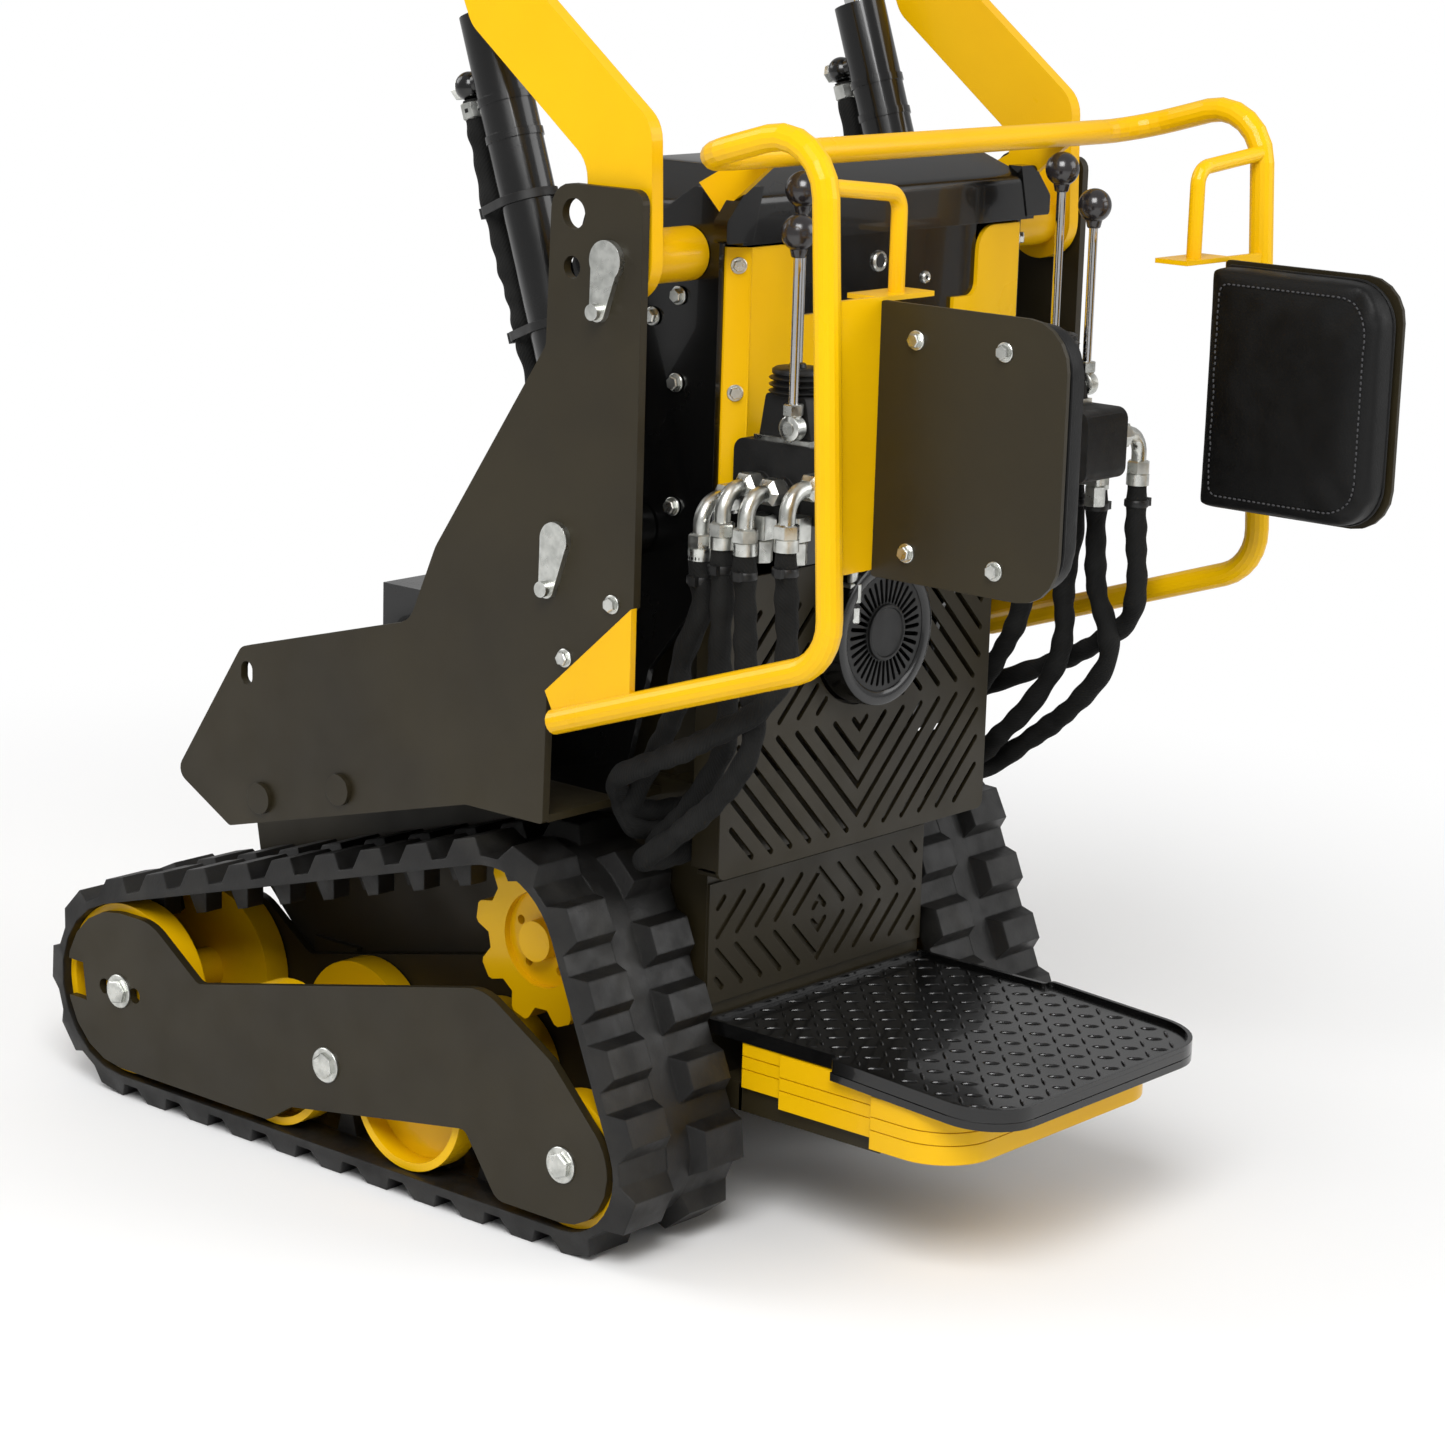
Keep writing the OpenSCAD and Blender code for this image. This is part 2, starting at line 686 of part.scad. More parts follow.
// Tool plate: a wide plate with hook edge, two ears on the boom and two on the tilt rod
tool_ear_x = 300;
tool_ear_t = 14;
tool_plate_half = 280;
tool_low = -96;
tool_high = 190;
lever_ear_x = 21;
module tool_plate() {
    color(satin_black) at_pivot() {
        y0 = tool_reach + plate_ahead;
        translate([-tool_plate_half, y0, tool_rise + tool_low])
            cube([2 * tool_plate_half, tool_plate_t, tool_high - tool_low]);
        pair() {
            difference() {
                union() {
                    sheet(tool_ear_x, tool_ear_t) polygon([tool_pin + [-8, 26], [y0 + tool_plate_t, tool_rise + 80],
                        [y0 + tool_plate_t, tool_rise - 60], tool_pin + [-8, -26]]);
                    bar(tool_ear_x, tool_ear_x + tool_ear_t, 28, tool_pin[0], tool_pin[1]);
                    translate([tool_plate_half, y0, tool_rise - 60])
                        cube([tool_ear_x + tool_ear_t - tool_plate_half, tool_plate_t, 140]);
                }
                bar(0, tower_x, tool_pin_r + run_gap, tool_pin[0], tool_pin[1]);
            }
            sheet(lever_ear_x, ear_t) polygon([lever_pin + [-4, 24], [y0, lever_pin[1] + 50],
                [y0, lever_pin[1] - 60], lever_pin + [-4, -24]]);
            bar(lever_ear_x, lever_ear_x + ear_t, 24, lever_pin[0], lever_pin[1]);
        }
    }
}

// Bucket: a bent sheet shell with side plates and a cutting lip
bucket_low = -110;
lip_t = 14;
module bucket_profile(inset) {
    y0 = bucket_back;
    z0 = tool_rise + bucket_low;
    i = inset;
    polygon(rounded([
        [y0 + i, z0 + bucket_h - (i > 0 ? -1 : 0), 0], [y0 + i, z0 + i, 70 - i],
        [y0 + bucket_depth, z0 + i, 0], [y0 + bucket_depth, z0 + 18, 0],
        [y0 + bucket_depth - 60, z0 + 120, 20], [y0 + 110, z0 + bucket_h - (i > 0 ? -1 : 0), 0]
    ]));
}
module bucket() {
    color(yellow) at_pivot() difference() {
        sheet(-bucket_w / 2, bucket_w) bucket_profile(0);
        sheet(-bucket_w / 2 + bucket_t, bucket_w - 2 * bucket_t) {
            y0 = bucket_back;
            z0 = tool_rise + bucket_low;
            polygon(rounded([
                [y0 + bucket_t, z0 + bucket_h + 1, 0], [y0 + bucket_t, z0 + bucket_t, 62],
                [y0 + bucket_depth - 60, z0 + lip_t - 4, 0], [y0 + bucket_depth + 1, z0 + bucket_t + 4, 0],
                [y0 + bucket_depth + 1, z0 + bucket_h + 1, 0]
            ]));
        }
    }
}

// Hood: a chamfered shell, open below, higher at the rear and sloping down to the nose
hood_back = -62;
hood_lip = 1040;
hood_mid = 130;
hood_front = 430;
hood_low = 640;
hood_wall = 5;
hood_half = inner_x - inner_plate_t - seat_gap;
function hood_side(w) = rounded([
    [hood_back + w, hood_lip - w, 0], [hood_back + w, hood_top - 26 - w / 2, 14],
    [hood_back + 40 + w / 2, hood_top - w, 20], [hood_mid - w / 3, hood_top - w, 60],
    [hood_front - w, 800 - w / 2, 50], [hood_front - w, hood_low - w, 0],
    [20 - w, hood_low - w, 0], [20 - w, hood_lip - w, 0]
]);
function hood_arch(w) = rounded([
    [hood_half - w, hood_low - 10, 0], [hood_half - w, hood_top - 40 - w / 2, 30],
    [hood_half - 50 - w / 2, hood_top + 1 - w, 20], [-hood_half + 50 + w / 2, hood_top + 1 - w, 20],
    [-hood_half + w, hood_top - 40 - w / 2, 30], [-hood_half + w, hood_low - 10, 0]
]);
module hood_block(w) {
    intersection() {
        sheet(-hood_half - 1, 2 * hood_half + 2) polygon(hood_side(w));
        translate([0, hood_front + 1, 0]) rotate([90, 0, 0])
            linear_extrude(hood_front - hood_back + 2) polygon(hood_arch(w));
    }
}
module hood() {
    color(gloss_black) on_pivot() difference() {
        hood_block(0);
        hood_block(hood_wall);
    }
}

// Control panel: a dash sheet from the grille up to the hood's rear lip
panel_half = 150;
panel_back = -53;
panel_t = 5;
panel_low = 705;
module control_panel() {
    color(gloss_black) on_pivot() {
        translate([-panel_half, panel_back, panel_low])
            cube([2 * panel_half, panel_t, hood_lip - seat_gap - panel_low]);
        for (x = [-17, 40]) translate([x, panel_back, 1002]) rotate([90, 0, 0]) cylinder(h = 6, r = 12);
    }
}

// Engine: one plain block on the hull, with its recoil starter behind the upper grille
engine_back = 70;
module engine() {
    color(satin_black) on_pivot() translate([-170, engine_back, hull_top]) cube([340, 220, 330]);
}
recoil_r = 73;
recoil_z = 622;
recoil_face = -80;
module recoil_starter() {
    color(gloss_black) on_pivot() translate([0, 0, recoil_z]) rotate([90, 0, 0]) {
        translate([0, 0, -engine_back]) cylinder(h = engine_back - recoil_face - 10, r = recoil_r);
        translate([0, 0, -recoil_face - 10]) cylinder(h = 10, r1 = recoil_r, r2 = recoil_r - 8);
    }
}

// Grilles: flat sheets with slots in V rows
slot_w = 9;
slot_gap = 22;
module slots(rows, half, low, high, up) {
    for (i = [0:rows - 1]) for (m = [-1, 1])
        let (z = low + i * slot_gap * 1.6)
        translate([0, z]) scale([m, 1]) translate([14, 0]) rotate(up ? 45 : -45) square([half, slot_w]);
}
upper_back = -41;
upper_low = 387;
upper_high = 700;
upper_half = 224;
module upper_grille() {
    color(satin_black) on_pivot() {
        translate([0, upper_back + grille_t, upper_low]) rotate([90, 0, 0]) linear_extrude(grille_t) difference() {
            translate([-upper_half, 0]) square([2 * upper_half, upper_high - upper_low]);
            intersection() {
                translate([-200, 24]) square([400, 270]);
                slots(9, 300, -40, 330, true);
            }
            translate([0, recoil_z - upper_low]) circle(r = recoil_r + 8);
        }
        for (x = [-upper_half, upper_half - grille_t])
            translate([x, upper_back + grille_t, upper_low])
                cube([grille_t, hull_back - seat_gap - upper_back - grille_t, upper_high - upper_low]);
        translate([-upper_half, upper_back + grille_t, upper_low])
            cube([2 * upper_half, hull_back - seat_gap - upper_back - grille_t, grille_t]);
    }
}
module lower_grille() {
    color(satin_black) on_pivot() translate([0, grille_back + grille_t, 232])
        rotate([90, 0, 0]) linear_extrude(grille_t) difference() {
            translate([-hull_half, 0]) square([2 * hull_half, 138]);
            intersection() {
                translate([-hull_half + 22, 12]) square([2 * hull_half - 44, 114]);
                slots(7, 260, -90, 130, true);
            }
        }
}

// Platform: a steel frame, stacked weights and a tread plate with a rim
module platform() {
    color(satin_black) on_pivot() {
        for (x = [-platform_half + 8, platform_half - 48])
            translate([x, -221.7, 140]) cube([40, 221.7 + hull_back - seat_gap, 16]);
        translate([-platform_half + 48, -221.7, 140]) cube([2 * platform_half - 96, 40, 16]);
    }
}
weight_steps = [
    // rear end, front end, low, high
    [-318, -222, 136, 186],
    [-222, -98, 156, 198],
    [-98, -44, 156, 198]
];
module platform_weights() {
    color(yellow) on_pivot() for (s = weight_steps) {
        r = s[0] == -318 ? 40 : 0;
        out = s[0] == -318 ? platform_half : platform_half - (s[0] == -222 ? 5 : 9);
        translate([0, 0, s[2]]) linear_extrude(s[3] - s[2])
            polygon(rounded([[out, s[0], r], [out, s[1], 0], [-out, s[1], 0], [-out, s[0], r]]));
    }
}
module tread_plate() {
    color(gloss_black) on_pivot() translate([0, 0, 198]) linear_extrude(tread_z - 198)
        polygon(rounded([[platform_half - 4, -345, 45], [platform_half - 4, grille_back - seat_gap, 0],
            [-platform_half + 4, grille_back - seat_gap, 0],
            [-platform_half + 4, -345, 45]]));
}

// Guard tubes with their brackets, a lower run to the tower and a crossbar
guard_x = 364;
guard_low = [-290, 677];
guard_high = [-262, 1178];
guard_nose = [-99, 1132];
guard_foot = [62, 560];
bracket_x = 293;
bracket_y = -275;
bracket_low = 757;
bracket_high = 1016;
module guard() {
    tube([[guard_x, guard_foot[0], guard_foot[1]], [guard_x, guard_low[0], guard_low[1]],
        [guard_x, guard_high[0], guard_high[1]], [guard_x, guard_nose[0], guard_nose[1]],
        [guard_x - 60, guard_nose[0], guard_nose[1]]], guard_bend, guard_d);
    y = bracket_y + 13;
    tube([[guard_x, y - 4, 1120], [250, y, 1108], [250, y, bracket_high - 3]], 18, 16);
    translate([bracket_x, bracket_y - 4, bracket_low])
        cube([guard_x - bracket_x - guard_d / 2 + 4, 5, bracket_high - bracket_low]);
    translate([bracket_x - 80, bracket_y - 4, bracket_high - 5]) cube([82, 40, 5]);
    translate([guard_x - 4, 0, 0]) rotate([90, 0, 90]) linear_extrude(8)
        polygon([[tower_back, 692], [72, 591], [56, 562], [tower_back, 596]]);
}
module guard_left() {
    color(yellow) on_pivot() side(-1) guard();
}
module guard_right() {
    color(yellow) on_pivot() guard();
}
module guard_crossbar() {
    color(yellow) on_pivot() {
        x = guard_x - 60;
        z = guard_nose[1];
        y = guard_nose[0];
        bar(-x, x, guard_d / 2, y, z);
        pair() sheet(inner_x - inner_plate_t, inner_plate_t)
            polygon([[-39, plate_top - 28], [-10, plate_top], [y + 6, z + 10], [y - 8, z - 6]]);
    }
}

// Knee pads: a steel plate with a cushion on its inner side
pad_t = 5;
pad_front = -278;
pad_low = 751;
function pad_outline(g) = rounded([
    [pad_front - g, pad_low + g, 4], [pad_front - g, pad_low + pad_h - g, 4],
    [pad_front - pad_len + g, pad_low + pad_h - g, 45], [pad_front - pad_len + g, pad_low + g, 45]]);
module pad_plates() {
    color(satin_black) on_pivot() pair() sheet(bracket_x - pad_t, pad_t) polygon(pad_outline(0));
}
module cushion() {
    sheet(bracket_x - pad_t - cushion_t, cushion_t - seat_gap) polygon(pad_outline(3));
}
module cushion_left() {
    color(gloss_black) on_pivot() side(-1) cushion();
}
module cushion_right() {
    color(gloss_black) on_pivot() cushion();
}

// Side panels beside the console, valves with their levers, and hoses
module side_panels() {
    color(yellow) on_pivot() pair() {
        out = inner_x - inner_plate_t - seat_gap;
        translate([out - panel_t, panel_back, 760]) cube([panel_t, 43, 275]);
        translate([panel_half + seat_gap, panel_back, 760]) cube([out - panel_half - seat_gap, panel_t, 275]);
    }
}
valve_at = [228, -96, 812];
valve_back = -130;
module valve() {
    translate([valve_at[0] - 58, valve_back, valve_at[2] - 45]) cube([116, panel_back - seat_gap - valve_back, 90]);
    translate(valve_at + [-4, 0, 75]) cube([72, 56, 60], center = true);
    for (i = [0:3]) translate(valve_at + [-42 + 28 * i, -20, -45]) rotate([180, 0, 0]) cylinder(h = 40, r = 10);
}
module valves() {
    color(gloss_black) on_pivot() pair() valve();
}
module lever(x, z) {
    translate([x, valve_at[1], 917]) cylinder(h = z - 917, r = 7);
    translate([x, valve_at[1], z]) sphere(r = 18);
}
module levers() {
    color(zinc) on_pivot() pair() {
        lever(232, 1056);
        lever(200, 1090);
    }
}
hose_d = 24;
hose_ends = [262, 287, 312, 337];
hose_way = [
    // share of the way out to its end, y, z
    [0, -116, 726.7], [0, -116, 690], [0.02, -118, 630], [0.15, -112, 585], [0.4, -92, 545],
    [0.7, -60, 515], [0.9, -24, 494], [1, 14, 480], [1, 50, 474]
];
hose_routes = [for (i = [0:3])
    let (x = valve_at[0] - 42 + 28 * i)
    [for (w = hose_way) [x + (hose_ends[i] - x) * w[0], w[1], w[2]]]];
module hoses() {
    for (r = hose_routes) cord(r, hose_d);
}
module hoses_left() {
    color(rubber) on_pivot() side(-1) hoses();
}
module hoses_right() {
    color(rubber) on_pivot() hoses();
}

// Small black box on the nose, between the tower plates
module front_box() {
    half = inner_x - inner_plate_t - seat_gap;
    color(gloss_black) on_pivot() translate([-half, 300, 540]) cube([2 * half, 136, 90]);
}

track_left();
track_right();
track_frames();
sprockets();
rollers();
chassis();
outer_plates();
inner_plates();
hood();
control_panel();
engine();
recoil_starter();
upper_grille();
lower_grille();
platform();
tread_plate();
platform_weights();
guard_left();
guard_right();
guard_crossbar();
pad_plates();
cushion_left();
cushion_right();
side_panels();
valves();
levers();
hoses_left();
hoses_right();
pin_keepers();
front_box();
arm_left();
arm_right();
boom_cross();
lift_barrel_left();
lift_barrel_right();
lift_rod_left();
lift_rod_right();
lift_hose_left();
lift_hose_right();
tilt_barrel();
tilt_rod();
tool_plate();
bucket();
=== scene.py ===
import bmesh
import bpy
import numpy as np
from mathutils import Matrix


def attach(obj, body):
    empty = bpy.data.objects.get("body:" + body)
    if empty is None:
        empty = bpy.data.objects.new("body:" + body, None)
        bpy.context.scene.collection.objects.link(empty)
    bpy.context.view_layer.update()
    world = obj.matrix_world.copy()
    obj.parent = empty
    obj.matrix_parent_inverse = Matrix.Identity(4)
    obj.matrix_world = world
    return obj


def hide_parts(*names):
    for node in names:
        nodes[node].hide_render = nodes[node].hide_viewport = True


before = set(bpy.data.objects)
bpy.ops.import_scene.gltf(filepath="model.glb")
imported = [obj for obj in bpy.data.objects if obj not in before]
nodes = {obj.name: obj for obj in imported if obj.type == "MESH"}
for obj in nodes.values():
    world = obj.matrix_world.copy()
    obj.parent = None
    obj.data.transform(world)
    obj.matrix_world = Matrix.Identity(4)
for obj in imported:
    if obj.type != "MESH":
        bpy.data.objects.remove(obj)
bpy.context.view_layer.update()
print("frame loaded:", len(nodes), "nodes")

mm = 0.001
pivotY = -496.65      # every y below is measured from the boom pivot, in mm
pivotZ = 1028.0


def place(points):
    # mm with y from the boom pivot -> metres in the frame
    p = np.asarray(points, float).reshape(-1, 3) * mm
    p[:, 1] += pivotY * mm
    return p


# camera
cameraFit = dict(x=-3036.1, y=-2438.9, z=1430.6, yaw=49.540, pitch=13.328, roll=-1.710, lens=93.36, sensor=36.0)


def addCamera(fit):
    yaw, pitch, roll = np.radians([fit["yaw"], fit["pitch"], fit["roll"]])
    fwd = np.array([np.sin(yaw) * np.cos(pitch), np.cos(yaw) * np.cos(pitch), -np.sin(pitch)])
    right = np.array([np.cos(yaw), -np.sin(yaw), 0.0])
    down = np.cross(fwd, right)
    across = np.cos(roll) * right + np.sin(roll) * down
    below = -np.sin(roll) * right + np.cos(roll) * down
    data = bpy.data.cameras.new("photoCamera")
    data.lens, data.sensor_width, data.sensor_fit = fit["lens"], fit["sensor"], "HORIZONTAL"
    data.clip_end = 60
    cam = bpy.data.objects.new("photoCamera", data)
    turn = Matrix(np.column_stack([across, -below, -fwd]).tolist()).to_4x4()
    turn.translation = place([[fit["x"], fit["y"], fit["z"]]])[0]
    cam.matrix_world = turn
    bpy.context.scene.collection.objects.link(cam)
    bpy.context.scene.camera = cam


addCamera(cameraFit)
bpy.context.scene.view_settings.view_transform = "Standard"
print("camera placed")


# materials
def linear(hexColour):
    c = np.array([int(hexColour[i:i + 2], 16) for i in (0, 2, 4)]) / 255
    c = np.where(c <= 0.04045, c / 12.92, ((c + 0.055) / 1.055) ** 2.4)
    return (*c.tolist(), 1.0)


def addNode(tree, kind, settings=None, links=None):
    # settings: socket name or attribute -> value; links: socket name -> (node, output name)
    node = tree.nodes.new(kind)
    for key, value in (settings or {}).items():
        if key in node.inputs:
            node.inputs[key].default_value = value
        else:
            setattr(node, key, value)
    for key, (source, out) in (links or {}).items():
        tree.links.new(source.outputs[out], node.inputs[key])
    return node


def newMaterial(name, base, settings, edge=1.2):
    mat = bpy.data.materials.new(name)
    mat.use_nodes = True
    tree = mat.node_tree
    shader = tree.nodes["Principled BSDF"]
    shader.inputs["Base Color"].default_value = linear(base)
    for key, value in settings.items():
        shader.inputs[key].default_value = value
    coords = addNode(tree, "ShaderNodeTexCoord")
    # sheet edges and corners are broken by about this radius, in mm
    addNode(tree, "ShaderNodeBevel", {"Radius": edge * mm, "samples": 2}, {})
    tree.links.new(tree.nodes["Bevel"].outputs["Normal"], shader.inputs["Normal"])
    return mat, tree, shader, coords


def perMetre(sizeMm):
    # noise scale that gives blotches of about this size
    return 1000.0 / sizeMm


def tint(tree, shader, base, other, coords, sizeMm, low, high, detail=4.0):
    # mixes a second colour in soft blotches
    noise = addNode(tree, "ShaderNodeTexNoise", {"Scale": perMetre(sizeMm), "Detail": detail}, {"Vector": (coords, "Object")})
    ramp = addNode(tree, "ShaderNodeMapRange", {"From Min": low, "From Max": high}, {"Value": (noise, "Fac")})
    mix = addNode(tree, "ShaderNodeMix", {"data_type": "RGBA"}, {"Factor": (ramp, "Result")})
    mix.inputs["A"].default_value = mix.inputs[6].default_value = linear(base)
    mix.inputs[7].default_value = linear(other)
    tree.links.new(mix.outputs[2], shader.inputs["Base Color"])
    return noise


def rough(tree, shader, coords, sizeMm, low, high, detail=5.0):
    noise = addNode(tree, "ShaderNodeTexNoise", {"Scale": perMetre(sizeMm), "Detail": detail}, {"Vector": (coords, "Object")})
    spread = addNode(tree, "ShaderNodeMapRange", {"From Min": 0.3, "From Max": 0.7, "To Min": low, "To Max": high}, {"Value": (noise, "Fac")})
    tree.links.new(spread.outputs["Result"], shader.inputs["Roughness"])
    return noise


def bump(tree, shader, height, depthMm, strength=1.0, before=None):
    links = {"Height": height, "Normal": (before or tree.nodes["Bevel"], "Normal")}
    node = addNode(tree, "ShaderNodeBump", {"Strength": strength, "Distance": depthMm * mm}, links)
    tree.links.new(node.outputs["Normal"], shader.inputs["Normal"])
    return node


def yellowEnamel():
    # two-pack enamel, sprayed and baked: even colour, wet gloss, faint orange peel of about 3 mm
    mat, tree, shader, coords = newMaterial("yellowEnamel", "e6b402", {"Specular IOR Level": 0.16, "Coat Weight": 0.14, "Coat Roughness": 0.08})
    tint(tree, shader, "e6b402", "dca602", coords, 260, 0.35, 0.8)
    rough(tree, shader, coords, 90, 0.26, 0.40)
    peel = addNode(tree, "ShaderNodeTexNoise", {"Scale": perMetre(5), "Detail": 1.0}, {"Vector": (coords, "Object")})
    bump(tree, shader, (peel, "Fac"), 0.12, 0.5)
    return mat


def satinBlack():
    # powder coat over steel plate: olive-black, satin, fine 1 mm grain (drawn at 2 mm so that it shows)
    mat, tree, shader, coords = newMaterial("satinBlackPowderCoat", "2a2414", {"Specular IOR Level": 0.3})
    tint(tree, shader, "2a2414", "211c10", coords, 180, 0.35, 0.75)
    rough(tree, shader, coords, 60, 0.36, 0.55)
    grain = addNode(tree, "ShaderNodeTexNoise", {"Scale": perMetre(2), "Detail": 2.0}, {"Vector": (coords, "Object")})
    bump(tree, shader, (grain, "Fac"), 0.10, 0.45)
    return mat


def glossBlack():
    # gloss black enamel on pressed sheet: dark, mirror-like, with a slow ripple of the sheet
    mat, tree, shader, coords = newMaterial("glossBlackEnamel", "080808", {"Specular IOR Level": 0.35, "Coat Weight": 0.35, "Coat Roughness": 0.04})
    rough(tree, shader, coords, 120, 0.16, 0.30)
    ripple = addNode(tree, "ShaderNodeTexNoise", {"Scale": perMetre(60), "Detail": 0.0}, {"Vector": (coords, "Object")})
    bump(tree, shader, (ripple, "Fac"), 0.5, 0.25)
    return mat


def trackRubber():
    # moulded natural rubber: near-black, matt, dusty in the hollows, mould grain of about 1.5 mm
    mat, tree, shader, coords = newMaterial("mouldedTrackRubber", "0f0e0d", {"Specular IOR Level": 0.4}, 3.0)
    tint(tree, shader, "0f0e0d", "26241f", coords, 70, 0.5, 0.9, 8.0)
    rough(tree, shader, coords, 30, 0.38, 0.66)
    grain = addNode(tree, "ShaderNodeTexNoise", {"Scale": perMetre(3), "Detail": 4.0}, {"Vector": (coords, "Object")})
    bump(tree, shader, (grain, "Fac"), 0.35, 0.6)
    return mat


def sleeveNylon():
    # woven nylon sleeve over hydraulic hose: charcoal, fuzzy, diagonal weave of 1.2 mm drawn at 3 mm
    mat, tree, shader, coords = newMaterial("wovenNylonSleeve", "090908", {"Specular IOR Level": 0.25})
    tint(tree, shader, "090908", "151514", coords, 40, 0.35, 0.75, 6.0)
    shader.inputs["Roughness"].default_value = 0.85
    uv = addNode(tree, "ShaderNodeMapping", {"Rotation": (0, 0, 0.785)}, {"Vector": (coords, "UV")})
    weave = addNode(tree, "ShaderNodeTexWave", {"Scale": 100.0, "Distortion": 1.5}, {"Vector": (uv, "Vector")})
    bump(tree, shader, (weave, "Fac"), 0.5, 0.5)
    return mat


def zincPlate():
    # bright zinc plating on turned steel: pale, slightly mottled metal
    mat, tree, shader, coords = newMaterial("brightZincPlate", "cfd0cb", {"Metallic": 1.0}, 0.5)
    tint(tree, shader, "d6d7d2", "a9aba6", coords, 14, 0.4, 0.75)
    rough(tree, shader, coords, 12, 0.22, 0.42)
    return mat


def chromeRod():
    # hard chrome on ground rod: near mirror
    mat, tree, shader, coords = newMaterial("hardChrome", "dcdcdc", {"Metallic": 1.0}, 0.5)
    rough(tree, shader, coords, 20, 0.05, 0.12)
    return mat


def padVinyl():
    # expanded vinyl over foam: black, soft sheen, embossed grain of about 2 mm
    mat, tree, shader, coords = newMaterial("expandedVinyl", "050505", {"Specular IOR Level": 0.24})
    rough(tree, shader, coords, 25, 0.42, 0.6)
    grain = addNode(tree, "ShaderNodeTexVoronoi", {"Scale": perMetre(2.5)}, {"Vector": (coords, "Object")})
    bump(tree, shader, (grain, "Distance"), 0.25, 0.5)
    return mat


def phenolic():
    # moulded phenolic knob: polished black-brown plastic
    mat, tree, shader, coords = newMaterial("polishedPhenolic", "232021", {"IOR": 1.6})
    rough(tree, shader, coords, 30, 0.14, 0.24)
    return mat


def castBlack():
    # painted cast iron valve body: black, matt, sand-cast grain of about 1.5 mm
    mat, tree, shader, coords = newMaterial("paintedSandCasting", "121212", {"Specular IOR Level": 0.35}, 2.0)
    rough(tree, shader, coords, 20, 0.5, 0.7)
    grain = addNode(tree, "ShaderNodeTexNoise", {"Scale": perMetre(2), "Detail": 3.0}, {"Vector": (coords, "Object")})
    bump(tree, shader, (grain, "Fac"), 0.35, 0.7)
    return mat


def mouldedBlack():
    # moulded nylon: black, half matt
    mat, tree, shader, coords = newMaterial("mouldedNylon", "0d0d0d", {"Specular IOR Level": 0.4})
    rough(tree, shader, coords, 18, 0.38, 0.55)
    return mat


def sewingThread():
    # bonded polyester thread: dark grey, dull
    mat, tree, shader, coords = newMaterial("polyesterThread", "3c3c3e", {"Roughness": 0.8}, 0.3)
    return mat


finish = dict(thread=sewingThread(), yellow=yellowEnamel(), satin=satinBlack(), gloss=glossBlack(), track=trackRubber(), sleeve=sleeveNylon(),
              zinc=zincPlate(), chrome=chromeRod(), vinyl=padVinyl(), knob=phenolic(), cast=castBlack(), nylon=mouldedBlack())
nodeFinish = dict(
    yellow=["sprockets", "rollers", "platform_weights", "guard_left", "guard_right", "guard_crossbar", "side_panels",
            "arm_left", "arm_right", "boom_cross", "bucket"],
    satin=["track_frames", "chassis", "outer_plates", "engine", "upper_grille", "lower_grille", "platform", "pad_plates", "tool_plate"],
    gloss=["inner_plates", "hood", "control_panel", "tread_plate", "front_box", "lift_barrel_left", "lift_barrel_right", "tilt_barrel"],
    track=["track_left", "track_right"], sleeve=["hoses_left", "hoses_right", "lift_hose_left", "lift_hose_right"],
    zinc=["pin_keepers"], chrome=["lift_rod_left", "lift_rod_right", "tilt_rod", "levers"],
    vinyl=["cushion_left", "cushion_right"], cast=["valves"], nylon=["recoil_starter"])
for key, names in nodeFinish.items():
    for name in names:
        for entry in nodes[name].material_slots:
            entry.material = finish[key]
print("materials made:", len(finish))

# surface makers
def unitRows(v):
    v = np.asarray(v, float)
    return v / np.linalg.norm(v, axis=-1, keepdims=True)


def gridFaces(rows, cols, closed):
    # quads between neighbouring rows of a grid; closed joins the last column to the first
    i, j = np.meshgrid(np.arange(rows - 1), np.arange(cols if closed else cols - 1), indexing="ij")
    k = (j + 1) % cols
    return np.stack([i * cols + j, i * cols + k, (i + 1) * cols + k, (i + 1) * cols + j], -1).reshape(-1, 4)


def capFaces(rows, cols):
    return [list(range(cols))[::-1], [(rows - 1) * cols + j for j in range(cols)]]


def lathe(profile, centre, axis, sides=24, start=0.0):
    # a profile of (height along the axis, radius) turned once round the axis: p = c + h a + r (cos t u + sin t v)
    profile = np.asarray(profile, float)
    a = unitRows(axis)
    u = unitRows(np.cross(a, [0, 0, 1.0] if abs(a[2]) < 0.9 else [1.0, 0, 0]))
    v = np.cross(a, u)
    t = start + np.arange(sides) * 2 * np.pi / sides
    ring = np.cos(t)[:, None] * u + np.sin(t)[:, None] * v
    pts = np.asarray(centre, float) + profile[:, :1, None].transpose(0, 2, 1) * a + profile[:, 1, None, None] * ring[None]
    return pts.reshape(-1, 3), gridFaces(len(profile), sides, True).tolist() + capFaces(len(profile), sides)


def smoothPath(points, steps):
    # Catmull-Rom curve through the points: each span is a cubic whose slope at a point is half of its neighbours' span
    p = np.asarray(points, float)
    p = np.vstack([2 * p[0] - p[1], p, 2 * p[-1] - p[-2]])
    t = np.linspace(0, 1, steps, endpoint=False)[None, :, None]
    a, b, c, d = (p[k:len(p) - 3 + k][:, None] for k in range(4))
    q = 0.5 * (2 * b + (c - a) * t + (2 * a - 5 * b + 4 * c - d) * t ** 2 + (3 * b - a - 3 * c + d) * t ** 3)
    return np.vstack([q.reshape(-1, 3), p[-2:-1]])


